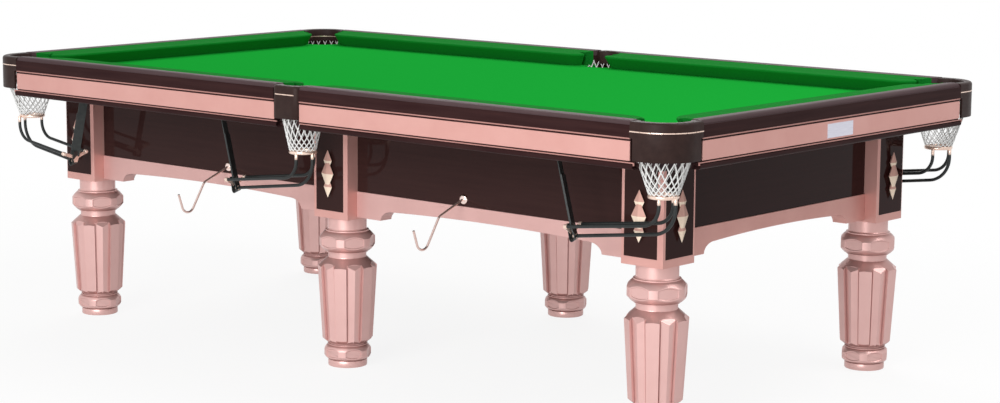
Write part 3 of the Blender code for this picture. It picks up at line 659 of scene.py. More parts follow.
def endPockets(side):
    if isEnd(side):
        end = side.split("_")[0]
        return f"front_{end}", f"back_{end}"
    return side, side.split("_")[0] + "_middle"


def pocketsAlong(side):
    along = sideAxes(side)[1]
    return sorted(endPockets(side), key=lambda place: pocketAt[place].dot(along))


def bored(side, section):  # as long as the rail, cut round at both pockets
    shape = runAlong(side, section, *sideSpan(side, "rail_" + side))
    return carved(shape, [boreTool(place) for place in endPockets(side)])


def makeRail(side):
    s = railSizes
    node = "rail_" + side
    reach = s["reach"]
    start, end = sideSpan(side, node)
    for name, section, finish in (("top_rail", cappingSection(), cappingGloss),
                                  ("rail_face", faceSection(), railGloss)):
        addPiece(f"{name}_{side}", bored(side, section), finish, [node], bevel=s["woodEdge"])
    pockets = pocketsAlong(side)
    short = side in ("front_right", "back_left")  # no overrun at the middle pocket
    over = [0 if short and isMiddle(place) else s["lineEnd"] for place in pockets]
    strips = (
        ("upper_line", s["upperLine"], reach + s["upperProud"], lineGold, (0, 0)),
        ("band", s["band"], reach, roseGold, (0, 0)),
        ("lower_line", s["lowerLine"], reach + s["lowerProud"], lineGold, over),
    )
    back = reach - s["boardSetBack"] - s["stripSink"]
    wide, tall, proud = s["tick"]
    for name, rises, out, finish, past in strips:
        first, last = start - past[0], end + past[1]
        shapes = [runAlong(side, stripSection(rises, out, back), first, last)]
        tick = stripSection((rises[1] - tall, rises[1]), out + proud, back)
        for place, run in zip(pockets, (first - wide, last)):  # a small return at the table's corners
            if any(past) and not isMiddle(place):
                shapes.append(runAlong(side, tick, run, run + wide))
        addPiece(f"{name}_{side}", merged(shapes), finish, [node], bevel=s["edge"])
    out, deep = s["mouldingDepth"]
    moulding = rod(side, s["moulding"], reach + out, reach - deep,
                   start - over[0] + s["mouldingShort"], end + over[1] - s["mouldingShort"])
    addPiece(f"moulding_{side}", moulding, railGloss, [node])
    corner = "back_right" if side.startswith(("back", "right")) else "front_left"
    post = farthest(side, "post_" + corner) - sideAxes(side)[2]
    out, deep = s["friezeDepth"]
    frieze = runAlong(side, stripSection(s["frieze"], post + out, post - deep), start, end)
    addPiece(f"frieze_{side}", frieze, cappingGloss, [node], bevel=s["edge"])


# cushions: cloth over a rubber nose, curving away into each pocket

cushionSizes = {
    "depth": 0.0548,
    "seat": 0.0008,
    "noseRise": 0.0362,
    "noseRound": 0.0045,
    "backRise": 0.0438,
    "backEase": (0.0012, 0.0016),
    "foot": 0.022,
    "wrapGap": 0.0002,
    "wrap": ((0.086, 0.0446), (0.0950, 0.0464), (0.0971, 0.0460), (0.0979, 0.0444)),
    "corner": (0.090, 0.0974),  # jaw radius, and where it starts from the corner
    "middle": (0.060, 0.098),  # the same, from the middle
    "boreClear": 0.0005,
    "steps": 18,
}


def jawLine(side, pocket, way):  # plan points and inward normals from the straight nose into the pocket
    s = cushionSizes
    outward, along, nose = sideAxes(side)
    axis = pocketAt[pocket]
    pocketRun, pocketOut = axis.dot(along), axis.dot(outward) - nose
    radius, start = s["middle" if isMiddle(pocket) else "corner"]
    if isMiddle(pocket):
        start = -way * start
    else:
        start = way * ((noseY if isEnd(side) else noseX) - start)
    line = []
    turn = math.acos(1 - s["depth"] / radius)
    for i in range(s["steps"] + 1):
        a = turn * i / s["steps"] - math.pi / 2
        run, out = start + way * radius * math.cos(a), radius + radius * math.sin(a)
        if math.hypot(run - pocketRun, out - pocketOut) < boreOf[pocket] + s["boreClear"]:
            break
        line.append((run, out, -way * math.cos(a), -math.sin(a)))
    return line


def makeCushion(side):
    s = cushionSizes
    first, second = pocketsAlong(side)
    nose = arcPoints((s["noseRound"], s["noseRise"]), s["noseRound"], s["noseRound"], 78, 232, 10)
    seat, top = s["seat"], s["backRise"]
    easeIn, easeDown = s["backEase"]
    rings = []
    for run, out, normalRun, normalOut in jawLine(side, first, -1)[::-1] + jawLine(side, second, 1):
        deep = (s["depth"] - out) / normalOut
        section = [(deep, seat), (deep, top - easeDown), (deep - easeIn, top), *nose, (s["foot"], seat)]
        section = [(max(min(d, deep), 0), rise) for d, rise in section]
        rings.append([sidePoint(side, out + normalOut * d, run + normalRun * d, rise) for d, rise in section])
    back = s["depth"] + s["wrapGap"]
    over = bored(side, [(back, seat), (back, top), *s["wrap"], (s["wrap"][-1][0], seat)])
    node = "cushion_" + side
    cushion = addPiece(f"cushion_cloth_{side}", merged([loft(rings), over]), cushionBaize, [node], smooth=50)


# pocket caps: a thick collar with rounded top, a thin skirt below and a pale inlay line round both sides

capSizes = {
    "cornerReach": 0.1352,
    "cornerProud": 0.0022,
    "cornerRound": 0.100,
    "middleHalf": 0.0532,
    "middleFaceHalf": 0.040,
    "middleProud": 0.0102,
    "middleRound": 0.010,
    "lip": 0.007,
    "gap": 0.0004,
    "top": 0.046,
    "crown": (("out", 0, 0.008), ("out", 0.001, 0.0045), ("out", 0.0032, 0.0016), ("out", 0.0075, 0),
              ("in", 0.0055, 0), ("in", 0.0018, 0.0012), ("in", 0.0003, 0.004)),  # in and down
    "line": (0.0178, 0.0208),
    "lineProud": (-0.0007, -0.0006),
    "lineParts": 7,
    "lineSteps": (8, 6),  # points to each step, and the stride between those used
    "core": (0.0002, 0.0003),  # in from the faces, and past the line
    "collarFoot": 0.0025,
    "collarHem": 0.0015,
    "skirtFoot": {"corner": -0.0582, "middle": -0.053},
    "skirtThick": 0.007,
    "skirtStart": 0.012,
    "hem": (0.0008, 0.001),
    "steps": 48,
}


def capPlan(place):  # outer and inner lines in plan, from one rail end to the other
    s = capSizes
    x, y, _ = pocketAt[place]
    wayX, wayY = math.copysign(1, x), math.copysign(1, y)
    radius, gap, steps = boreOf[place] - s["lip"], s["gap"], s["steps"]
    if isMiddle(place):
        wayX, baseX, baseY = 1, 0, 0
        face = noseY + railSizes["reach"]
        inner, front = noseY + bedSizes["reach"] + gap, face + s["middleProud"]
        half, flat = s["middleHalf"], s["middleFaceHalf"]
        corners = [(half, inner), (half, face), (flat, front), (-flat, front), (-half, face), (-half, inner)]
        outer = rounded([Vector(corner) for corner in corners], s["middleRound"])
        start = math.degrees(math.asin((inner - abs(y)) / radius))
        hole = arcPoints((0, abs(y)), radius, radius, start, 180 - start, steps)
    else:
        baseX, baseY = (nose + railSizes["reach"] - s["cornerReach"] for nose in (noseX, noseY))
        edge = s["cornerReach"] + s["cornerProud"]
        centre = edge - s["cornerRound"]
        bend = arcPoints((centre, centre), s["cornerRound"], s["cornerRound"], 0, 90, steps)
        outer = [(edge, gap), *bend, (gap, edge)]
        holeX, holeY = abs(x) - baseX, abs(y) - baseY
        start = math.degrees(math.asin((gap - holeY) / radius))
        hole = arcPoints((holeX, holeY), radius, radius, start, 90 - start, steps)
    return [evenly([Vector((wayX * (baseX + a), wayY * (baseY + b), 0)) for a, b in line], steps)
            for line in (outer, hole)]


def capRing(outer, inner, marks):  # marks: which line, how far in from it, and the rise
    across = (inner - outer).normalized()
    return [(outer + across * d if line == "out" else inner - across * d) + up * (bedZ + rise)
            for line, d, rise in marks]


def capLoft(outer, inner, marks):
    return loft([capRing(o, i, marks) for o, i in zip(outer, inner)])


def capBand(low, high, outerIn, innerIn):
    return [("out", outerIn, low), ("out", outerIn, high), ("in", innerIn, high), ("in", innerIn, low)]


def makeCap(place):
    s = capSizes
    steps, thick, collarFoot = s["steps"], s["skirtThick"], s["collarFoot"]
    outer, inner = capPlan(place)
    low, high = s["line"]
    crown = [(line, d, s["top"] - down) for line, d, down in s["crown"]]
    collar = capLoft(outer, inner, [("out", 0, high), *crown, ("in", 0, high)])
    hemIn, hemUp = s["hem"]

    def skirt(end):
        return [("out", 0, low), ("out", 0, end + hemUp), ("out", hemIn, end), ("out", thick - hemIn, end),
                ("out", thick, end + hemUp), ("out", thick, collarFoot), ("in", 0, collarFoot),
                ("in", 0, low)]

    length = sum((b - a).length for a, b in zip(outer, outer[1:]))
    skip = 0 if isMiddle(place) else max(1, round(s["skirtStart"] / length * steps))
    foot, short = s["skirtFoot"]["middle" if isMiddle(place) else "corner"], collarFoot - s["collarHem"]
    feet = [[foot if skip <= k <= steps - skip else short] for k in range(steps + 1)]
    if skip:  # the skirt starts and ends a little way in from the rails
        feet[skip], feet[steps - skip] = [short, foot], [foot, short]
    lower = loft([capRing(o, i, skirt(end)) for o, i, ends in zip(outer, inner, feet) for end in ends])
    inset, lap = s["core"]
    core = capLoft(outer, inner, capBand(low - lap, high + lap, inset, inset))
    addPiece(f"cap_shell_{place}", merged([collar, lower, core]), capLeather, ["cap_" + place], smooth=40)
    fine, stride = s["lineSteps"]
    outer, inner = evenly(outer, steps * fine), evenly(inner, steps * fine)
    count = s["lineParts"]
    parts = []
    for n in range(count):  # in lengths with a hair's gap between
        first, last = (round(k * (steps / count) * fine) for k in (n, n + 1))
        first, last = first + (1 if n else 0), last - (1 if n < count - 1 else 0)
        picks = [*range(first, last, stride), last]
        if isMiddle(place):  # only on the flat front
            picks = [k for k in picks if abs(outer[k].x) < s["middleFaceHalf"]]
        if len(picks) > 1:
            band = capBand(low, high, *s["lineProud"])
            parts.append(capLoft([outer[k] for k in picks], [inner[k] for k in picks], band))
    addPiece(f"cap_line_{place}", merged(parts), paleGold, ["cap_" + place])


# nets: knotted cord from loops inside the cap down to the ring

netSizes = {
    "cord": (0.0018, 6),  # radius and sides
    "innerShare": 0.55,
    "innerFade": (0.35, 0.5),  # start and width
    "columns": 18,
    "rows": (0.014, -0.011, -0.036, -0.062, -0.086, -0.109, -0.1235, -0.1345, -0.144, -0.1515),
    "frontTop": -0.008,
    "frontFade": (0.2, 0.7),
    "wall": 0.003,
    "taperRise": -0.058,
    "sag": 0.06,
    "ringRadius": 0.0396,
    "knot": (0.0025, 0.0036),
    "knotEnd": 0.0002,
}


def netRadius(place, rise):
    s = netSizes
    top = boreOf[place] - s["wall"]
    if rise > s["taperRise"]:
        return top
    t = (s["taperRise"] - rise) / (s["taperRise"] - s["rows"][-1])
    return top + (s["ringRadius"] - top) * (t * (1 - s["sag"]) + s["sag"] * t * t)


def netOutward(place):
    x, y, _ = pocketAt[place]
    return Vector((0 if isMiddle(place) else x, y)).normalized()


def netPoint(place, angle, rise):
    x, y, _ = pocketAt[place]
    outward = netOutward(place)
    low = netSizes["frontTop"]
    if rise > low:  # the loops reach up only where the cap stands behind them
        ahead, width = netSizes["frontFade"]
        t = clamped((math.cos(angle) * outward.x + math.sin(angle) * outward.y + ahead) / width)
        rise = low + (rise - low) * t * t * (3 - 2 * t)
    radius = netRadius(place, rise)
    return Vector((x + radius * math.cos(angle), y + radius * math.sin(angle), bedZ + rise))


def netSize(place, point):  # the cord is thinner on the half that faces the table
    ahead, width = netSizes["innerFade"]
    away = (point - pocketAt[place]).to_2d().normalized().dot(netOutward(place))
    return netSizes["innerShare"] + (1 - netSizes["innerShare"]) * clamped((away + ahead) / width)


def makeNet(place):
    s = netSizes
    step = 2 * math.pi / s["columns"]
    shapes = []
    for c in range(s["columns"]):
        for lean in (-0.5, 0.5):
            knots = [netPoint(place, (c + lean * k) * step, rise) for k, rise in enumerate(s["rows"])]
            line = eased(knots, 3)
            sizes = [netSize(place, point) for point in line]
            shapes.append(sweep(line, roundSection(*s["cord"]), sizes=sizes))
    wide, tall = s["knot"]
    end = s["knotEnd"]
    barrel = [(end, -tall), (wide * 0.75, -tall * 0.6), (wide, 0), (wide * 0.75, tall * 0.6), (end, tall)]
    for k, rise in enumerate(s["rows"][:-1]):
        for c in range(s["columns"]):
            at = netPoint(place, (c + 0.5 * k) * step, rise)
            shapes.append(turned(barrel, 6, Matrix.Translation(at) @ Matrix.Scale(netSize(place, at), 4)))
    addPiece(f"net_cords_{place}", merged(shapes), netCord, ["net_" + place], smooth=70)


# ball rails: ring with three sockets, black tubes, end bracket and leather stop strap

ballRailSizes = {
    "ringRadius": 0.0396,
    "ringTop": -0.1523,
    "ringHeight": 0.0097,
    "ringWidth": 0.006,
    "ringSteps": (48, 16),
    "tube": (0.005, 14),  # radius and sides
    "upperBack": 0.009,
    "upperDrop": 0.0745,
    "upperBend": 0.055,
    "lowerDrop": 0.0995,
    "lowerBend": 0.075,
    "lowerFall": 0.01,
    "bendSteps": 14,
    "overhang": 0.008,
    "socketRadius": 0.005,
    "socketFoot": 0.0135,
    "socketLap": (0.002, 0.004, 0.003),  # tube into socket, socket below the tube's top, socket into ring
    "sleeve": (0.0066, 0.012, 0.004),  # radius, length, and how far past the tube
    "turnSteps": 18,
    "plate": 0.0035,
    "strapWidth": 0.029,
    "strapThick": 0.003,
    "strapEdge": 0.0006,
    "strapTurn": 20,
    "strapLean": 0.27,
    "strapTop": -0.031,
    "beltStart": 0.06,
    "push": {"belt": 0.002, "flap": -0.0014, "tail": 0.0052},
    "flapShare": 0.62,
    "tail": (0.05, 0.09, 0.13),
    "loop": (0.0055, 0.0105),
    "fixing": (0.030, 0.016, 0.010),
}
# which way each one runs, how far, half the distance between its upper tubes, and its fall
ballRun = {
    "front_left": (1, 0.215, 0.046, 0.15), "front_middle": (-1, 0.290, 0.037, 0.12),
    "front_right": (-1, 0.298, 0.031, 0.12), "back_left": (1, 0.298, 0.031, 0.12),
    "back_middle": (1, 0.290, 0.037, 0.12), "back_right": (-1, 0.215, 0.046, 0.12),
}


def tubeLine(back, spread, drop, bend, run, slope):
    s = ballRailSizes
    ringFoot = s["ringTop"] - s["ringHeight"]
    start = ringFoot - drop + bend
    turn = math.pi / 2 - math.atan(slope)
    line = [(-back, spread, ringFoot - s["socketFoot"] + s["socketLap"][0]), (-back, spread, start)]
    for i in range(1, s["bendSteps"] + 1):
        a = turn * i / s["bendSteps"]
        line.append((-back + bend - bend * math.cos(a), spread, start - bend * math.sin(a)))
    far, _, rise = line[-1]
    return [*line, (run, spread, rise - (run - far) * slope)]


def ringShape(x, y):
    s = ballRailSizes
    steps, sectionSteps = s["ringSteps"]
    centre = Vector((x, y, bedZ + s["ringTop"] - s["ringHeight"] / 2))
    oval = arcPoints((0, 0), s["ringWidth"] / 2, s["ringHeight"] / 2, 0, 345, sectionSteps - 1)
    rings = []
    for i in range(steps):
        a = 2 * math.pi * i / steps
        out = Vector((math.cos(a), math.sin(a), 0))
        rings.append([centre + out * (s["ringRadius"] + r) + up * h for r, h in oval])
    return loft([*rings, rings[0]], cap=False)


def tubeEnds(points):  # the socket at a tube's top and the sleeve at its far end
    s = ballRailSizes
    _, below, above = s["socketLap"]
    foot, head = points[0].z - below, bedZ + (s["ringTop"] - s["ringHeight"]) + above
    r = s["socketRadius"]
    socket = [(r * 0.7, foot), (r * 0.94, foot), (r, foot + 0.001), (r, head), (r * 0.8, head + 0.002)]
    r, long, past = s["sleeve"]
    cup = [(r * 0.8, 0), (r, 0.001), (r, long - 0.002), (r * 0.7, long), (0.0005, long)]
    ahead = (points[-1] - points[-2]).normalized()
    start = Matrix.Translation((points[0].x, points[0].y, 0))
    end = Matrix.Translation(points[-1] + ahead * past - ahead * long)
    facing = ahead.to_track_quat("Z", "Y").to_matrix().to_4x4()
    return [turned(socket, s["turnSteps"], start), turned(cup, s["turnSteps"], end @ facing)]


def makeBallRail(place):
    s = ballRailSizes
    node = "ball_rail_" + place
    x, y, _ = pocketAt[place]
    way, run, spread, slope = ballRun[place]
    side = math.copysign(1, y)

    def spot(a, o, rise):
        return Vector((x + way * a, y + side * o, bedZ + rise))

    upper = (s["upperDrop"], s["upperBend"], run + s["overhang"], slope)
    lines = [tubeLine(s["upperBack"], spread, *upper), tubeLine(s["upperBack"], -spread, *upper),
             tubeLine(s["ringRadius"], 0, s["lowerDrop"], s["lowerBend"], run, slope + s["lowerFall"])]
    tubes, metal = [], [ringShape(x, y)]
    for line in lines:
        points = [spot(*point) for point in line]
        tubes.append(sweep(points, roundSection(*s["tube"])))
        metal += tubeEnds(points)
    addPiece(f"ball_tubes_{place}", merged(tubes), tubeBlack, [node])

    high, low = lines[0][-1][2], lines[2][-1][2]
    centre = (low + high) / 2
    half = [(0.006, low - 0.004), (0.0115, centre - 0.004), (spread + 0.002, high - 0.005),
            (spread + 0.002, high + 0.005), (0.012, centre + 0.008)]
    stand = Matrix.Translation(spot(run + s["overhang"] - 0.001, 0, 0)) @ axes((0, side, 0), up, (way, 0, 0))
    metal.append(prism([*half, *[(-o, z) for o, z in half[::-1]]], 0, s["plate"], stand))
    addPiece(f"ball_ring_and_bracket_{place}", merged(metal), paleGold, [node])

    topRun = run + s["strapLean"] * (s["strapTop"] - low)
    half, flat = s["strapWidth"] / 2, s["strapThick"] / 2
    section = rectangle(-half, -flat, half, flat)
    turn = math.radians(s["strapTurn"])
    across = Vector((-way * math.sin(turn), side * math.cos(turn), 0))

    def strapPoint(t, push):
        return spot(run + (topRun - run) * t + push, 0, low + (s["strapTop"] - low) * t)

    first, push = s["beltStart"], s["push"]
    belt = sweep([strapPoint(first + (1 - first) * i / 10, push["belt"]) for i in range(11)], section, across)
    wide, deep, tall = (size / 2 for size in s["fixing"])
    top = strapPoint(1, 0)
    plate = block((top.x - deep, top.y - wide, top.z - 2 * tall), (top.x + deep, top.y + wide, top.z))
    addPiece(f"stop_strap_{place}", merged([belt, plate]), strapLeather, [node], bevel=s["strapEdge"])
    wide, drop = s["loop"]
    flap = [strapPoint(s["flapShare"] * (1 - i / 8), push["flap"]) for i in range(8)]
    flap += [spot(a, 0, rise) for a, rise in arcPoints((run, low), -wide, -drop, 0, 180, 10)]
    flap += [strapPoint(t, push["tail"]) for t in s["tail"]]
    addPiece(f"strap_flap_{place}", sweep(eased(flap, 2), section, across), tubeBlack, [node],
             bevel=s["strapEdge"])


# posts: rose-gold frame, dark panels and three-lobed ornaments

postSizes = {
    "panelBottom": 0.023,
    "panelGap": 0.0002,
    "depth": 0.002,
    "panelThick": 0.0012,
    "ornamentRise": 0.137,
    "ornamentEdge": 0.0004,
    "lobes": ((0.0, 0.0255, 0.048, 0.010, 0.0168), (0.040, 0.0175, 0.033, 0.0085, 0.0132),
              (-0.040, 0.0175, 0.033, 0.0085, 0.0132)),
    "lobeFoot": (0.45, -0.0005),
    "lobeTip": 0.02,
    "edge": 0.0012,
}
# bare margins of each panel, left and right as seen from outside
panelMargins = {
    "front_left": {"side": (0.001, 0.017), "end": (0.015, 0.001)},
    "front_middle": {"side": (0.009, 0.018)},
    "front_right": {"side": (0.009, 0.020), "end": (0.012, 0.006)},
}
turnedRound = {"back_right": "front_left", "back_middle": "front_middle", "back_left": "front_right"}


def lobe(place, centre, wide, tall, edge, peak):  # a four-sided pyramid on a narrower foot
    rim = [(0, tall), (-wide, 0), (0, -tall), (wide, 0)]
    levels = (postSizes["lobeFoot"], (1, edge), (postSizes["lobeTip"], peak))
    return loft([[place @ Vector((a * size, centre + b * size, z)) for a, b in rim] for size, z in levels])


def makePost(place):
    s = postSizes
    node = "post_" + place
    low, high = (corner[2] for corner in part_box(node))
    x, y, _ = legAt[place]
    half = (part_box("post_back_middle")[1][0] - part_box("post_back_middle")[0][0]) / 2
    foot, tall, gap = s["panelBottom"], high - low, s["panelGap"]
    back, front = -s["depth"], -s["depth"] + s["panelThick"]
    recesses = []
    for label, (left, right) in panelMargins[turnedRound.get(place, place)].items():
        left, right = left - half, half - right
        isSide = label == "side"
        out = Vector((0, math.copysign(1, y), 0) if isSide else (math.copysign(1, x), 0, 0))
        face = Matrix.Translation(Vector((x, y, low)) + out * half) @ axes(up.cross(out), up, out)
        recesses.append(prism(rectangle(left, foot, right, tall + 0.01), back, s["depth"], face))
        panel = prism(rectangle(left + gap, foot + gap, right - gap, tall), back, front, face)
        # the end-facing panel takes the painted-shade copy of the dark gloss
        addPiece(f"post_panel_{label}_{place}", panel, darkGloss if isSide else shadedEndGloss, [node])
        seat = face @ Matrix.Translation(((left + right) / 2, s["ornamentRise"], front))
        lobes = merged([lobe(seat, *sizes) for sizes in s["lobes"]])
        addPiece(f"post_ornament_{label}_{place}", lobes, ornamentGold, [node], bevel=s["ornamentEdge"],
                 smooth=8)
    whole = block((x - half, y - half, low), (x + half, y + half, high))
    addPiece(f"post_frame_{place}", carved(whole, recesses), roseGold, [node], bevel=s["edge"])


# aprons: dark panel over a proud rose-gold lower rail with bracket ends

apronSizes = {
    "thick": 0.022,
    "panelEdge": 0.0006,
    "panelGap": 0.0002,
    "railThick": 0.044,
    "railProud": 0.004,
    "railHeight": 0.044,
    "clear": 0.0415,
    "arch": 0.008,
    "archLow": 0.0045,
    "bracketDrop": 0.035,
    "bracketLength": 0.099,
    "bracketCurve": 0.047,
    "steps": 16,
    "edge": 0.0012,
}


def makeApron(side):
    s = apronSizes
    node = "apron_" + side
    outward, along, _ = sideAxes(side)
    start, end = sideSpan(side, node)
    drop, steps = s["clear"] - s["bracketDrop"], s["steps"]
    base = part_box(node)[0][2] - drop
    place = outward * (farthest(side, node) - s["railProud"]) + along * (start + end) / 2 + up * base
    seat = Matrix.Translation(place) @ axes(up.cross(outward), up, outward)
    half = (end - start) / 2
    bend = half - s["bracketLength"] - s["bracketCurve"]
    spring = s["clear"] - s["archLow"]
    right = [*arcPoints((bend, drop), s["bracketCurve"], spring - drop, 90, 0, steps), (half, drop)]
    left = [(-a, b) for a, b in right[::-1]]
    arch = [(bend * (2 * t - 1), spring + s["arch"] * 4 * t * (1 - t)) for t in
            [i / steps for i in range(1, steps)]]
    top = s["clear"] + s["railHeight"]
    rail = prism([*left, *arch, *right, (half, top), (-half, top)], -s["railThick"], s["railProud"], seat)
    # the long sides' lower rails and the end panels take the painted-shade copies of their finishes
    gold, dark = (roseGold, shadedEndGloss) if isEnd(side) else (shadedApronRose, darkGloss)
    addPiece(f"apron_lower_rail_{side}", rail, gold, [node], bevel=s["edge"])
    section = stripSection((top + s["panelGap"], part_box(node)[1][2] - base), 0, -s["thick"])
    panel = loft([[seat @ Vector((a, b, c)) for c, b in section] for a in (-half, half)])
    addPiece(f"apron_panel_{side}", panel, dark, [node], bevel=s["panelEdge"])


# legs: turned neck and bulge with six ovals, tapered body of six staves and six flats, lower bulge

legSizes = {
    "staves": 6,
    "flatHalf": 12.4,
    "slot": 3.2,
    "slotDeep": 0.0105,
    "slotFlare": 0.5,
    "ridgeBase": 0.0075,
    "ridgeDrop": 0.0015,
    "bodyLow": (0.0775, 0.095),
    "bodyHigh": (0.0905, 0.310),
    "bodyWide": 0.11,
    "shoulder": (0.0600, 0.3380, 0.0905, 0.3110),
    "staveTop": (0.0885, 0.3065),
    "staveSlope": 1.3,
    "staveGap": 0.0003,
    "bodyFoot": (0.0600, 0.073),
    "footSlope": 0.8,
    "core": 0.050,
    "neck": 0.0595,
    "flange": (0.066, 0.4195, 0.4225),
    "bulge": (0.0855, 0.357, 0.376, 0.400, 0.4195, 0.066, 0.22),
    "bulgeFlat": 0.0793,
    "waist": 0.058,
    "lowBulge": (0.0720, 0.0225, 0.034, 0.052, 0.0655, 0.060, 0.5),
    "lowFlat": 0.0672,
    "flatRim": 0.0028,
    "flatSink": 0.0018,
    "steps": 72,
    "swellSteps": 8,
    "edge": 0.0006,
    "sharp": 14,
}


def cutAway(shape, point, normal):  # drop what lies beyond a plane and close the cut
    cut = bmesh.ops.bisect_plane(shape, geom=[*shape.verts, *shape.edges, *shape.faces], dist=0.000001,
                                 plane_co=point, plane_no=normal, clear_outer=True)
    edges = [e for e in cut["geom_cut"] if isinstance(e, bmesh.types.BMEdge)]
    return bmesh.ops.contextual_create(shape, geom=edges)["faces"] if edges else []


def bulgeShape(sizes, flat):
    s = legSizes
    radius, z0, z1, z2, z3, end, share = sizes
    swell = []
    for t in [i / s["swellSteps"] for i in range(s["swellSteps"] + 1)]:
        swell.append((end + (radius - end) * (share * math.sqrt(1 - (1 - t) ** 2) + (1 - share) * t), t))
    profile = [(r, z0 + (z1 - z0) * t) for r, t in swell] + [(r, z3 - (z3 - z2) * t) for r, t in swell[::-1]]
    shape = turned(profile, s["steps"])
    for k in range(s["staves"]):
        out = spoke(30 + 60 * k)
        face = cutAway(shape, out * flat, out)
        bmesh.ops.inset_region(shape, faces=face, thickness=s["flatRim"], depth=0)
        bmesh.ops.inset_region(shape, faces=face, thickness=s["flatSink"], depth=-s["flatSink"])
    return shape


def bodyShapes():
    s = legSizes
    (lowRadius, lowZ), (highRadius, highZ) = s["bodyLow"], s["bodyHigh"]
    footRadius, footZ = s["bodyFoot"]
    topRadius, topZ, rimRadius, rimZ = s["shoulder"]
    wide, flat, core = s["bodyWide"], s["flatHalf"], s["core"]
    slope = (highRadius - lowRadius) / (highZ - lowZ)
    steep = (topZ - rimZ) / (rimRadius - topRadius)
    ends = [(z, lowRadius + (z - lowZ) * slope) for z in (footZ, topZ)]

    def lathe(shape, shift):
        profile = [(footRadius, footZ + shift), (wide, footZ + shift + (wide - footRadius) * s["footSlope"]),
                   (wide, rimZ - shift - (wide - rimRadius) * steep), (topRadius, topZ - shift)]
        return carved(shape, [turned(profile, s["steps"])], "INTERSECT")

    rings = []
    for z, apex in ends:  # proud flats with deep slots beside them
        ring = []
        for k in range(s["staves"]):
            edge = [(flat, apex), (flat + s["slotFlare"], apex - s["slotDeep"])]
            ring += [spoke(60 * k - a) * r + up * z for a, r in edge[::-1]]
            ring += [spoke(60 * k + a) * r + up * z for a, r in edge]
        rings.append(ring)
    shapes = [lathe(loft(rings), 0)]
    reach = 30 - flat - s["slot"]
    topOut, topRise = s["staveTop"]
    for k in range(s["staves"]):
        left, out, right = (spoke(30 + 60 * k + a) for a in (-reach, 0, reach))
        rings = []
        for z, apex in ends:
            base, tip = apex - s["ridgeBase"], apex - s["ridgeDrop"]
            ring = (left * core, left * base, out * tip, right * base, right * core)
            rings.append([point + up * z for point in ring])
        stave = lathe(loft(rings), s["staveGap"])
        cutAway(stave, out * topOut + up * topRise, out * s["staveSlope"] + up)
        shapes.append(stave)
    return shapes


def legShape():
    s = legSizes
    bottom, neckTop = (corner[2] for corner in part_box("leg_front_left"))
    bulgeLow = s["bulge"][1]
    flange, flangeLow, flangeHigh = s["flange"]
    lowEnd, lowTop = s["lowBulge"][5], s["lowBulge"][4]
    bodyLow, bodyTop = s["bodyFoot"][1], s["shoulder"][1]
    waist, neck, core = s["waist"], s["neck"], s["core"]
    spindle = turned([
        (lowEnd - 0.003, bottom), (lowEnd - 0.001, bottom + 0.002), (lowEnd - 0.001, lowTop + 0.001),
        (lowEnd + 0.0012, lowTop + 0.002), (lowEnd + 0.0012, lowTop + 0.0035),
        (lowEnd - 0.003, lowTop + 0.005), (lowEnd - 0.003, bodyLow + 0.004),
        (core, bodyLow + 0.004), (core, bodyTop - 0.004),
        (waist + 0.002, bodyTop - 0.004), (waist, bodyTop + 0.002), (waist, bulgeLow - 0.004),
        (waist + 0.005, bulgeLow - 0.003), (waist + 0.005, bulgeLow), (waist, bulgeLow + 0.001),
        (waist, flangeLow), (flange, flangeLow), (flange, flangeHigh),
        (neck + 0.002, flangeHigh + 0.001), (neck, flangeHigh + 0.004), (neck, neckTop),
    ], s["steps"])
    others = [bulgeShape(s["bulge"], s["bulgeFlat"]), *bodyShapes(), bulgeShape(s["lowBulge"], s["lowFlat"])]
    shape = carved(spindle, others, "UNION")
    bmesh.ops.recalc_face_normals(shape, faces=shape.faces)
    return shape


def makeLegs():
    sharp = legSizes["sharp"]
    mesh = finished("leg", legShape(), legGold, sharp)  # one mesh for all six
    for place in places:
        addPiece(f"turned_leg_{place}", mesh, legGold, ["leg_" + place], bevel=legSizes["edge"], smooth=sharp,
                 at=(*legAt[place].xy, 0))


# levelling feet: a turned disc on a threaded stem

footSizes = {"radius": 0.060, "height": 0.021, "edge": 0.003, "ease": 0.3, "stem": 0.0119, "pitch": 0.0025,
             "thread": 0.0012, "stemEase": 0.0014, "bore": 0.001}


def makeFeet():
    s = footSizes
    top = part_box("levelling_foot_front_left")[1][2]
    radius, height, edge = s["radius"], s["height"], s["edge"]
    stem, pitch, bore = s["stem"], s["pitch"], s["bore"]
    ease = edge * s["ease"]
    profile = [(bore, 0), (radius - edge, 0), (radius - ease, ease), (radius, edge), (radius, height - edge),
               (radius - ease, height - ease), (radius - edge, height), (stem, height)]
    z = height + pitch
    while z < top - pitch:
        profile += [(stem - s["thread"], z - pitch / 2), (stem, z)]
        z += pitch
    profile += [(stem - s["stemEase"], top), (bore, top)]
    for place in places:
        node = "levelling_foot_" + place
        addPiece(f"foot_disc_{place}", turned(profile, 48), footMetal, [node], body=node,
                 at=(*legAt[place].xy, 0))


# rest hooks: bent wire on a domed rose

hookSizes = {
    "wire": (0.0036, 16),  # radius and sides
    "start": 0.004,
    "arm": (0.105, -0.039),
    "elbow": 0.008,
    "shank": (0.0475, -0.0757),
    "bend": 0.025,
    "tip": (0.0453, 71),  # length and slope
    "rose": (0.015, 0.007),
    "pin": (0.0039, 0.014),
}


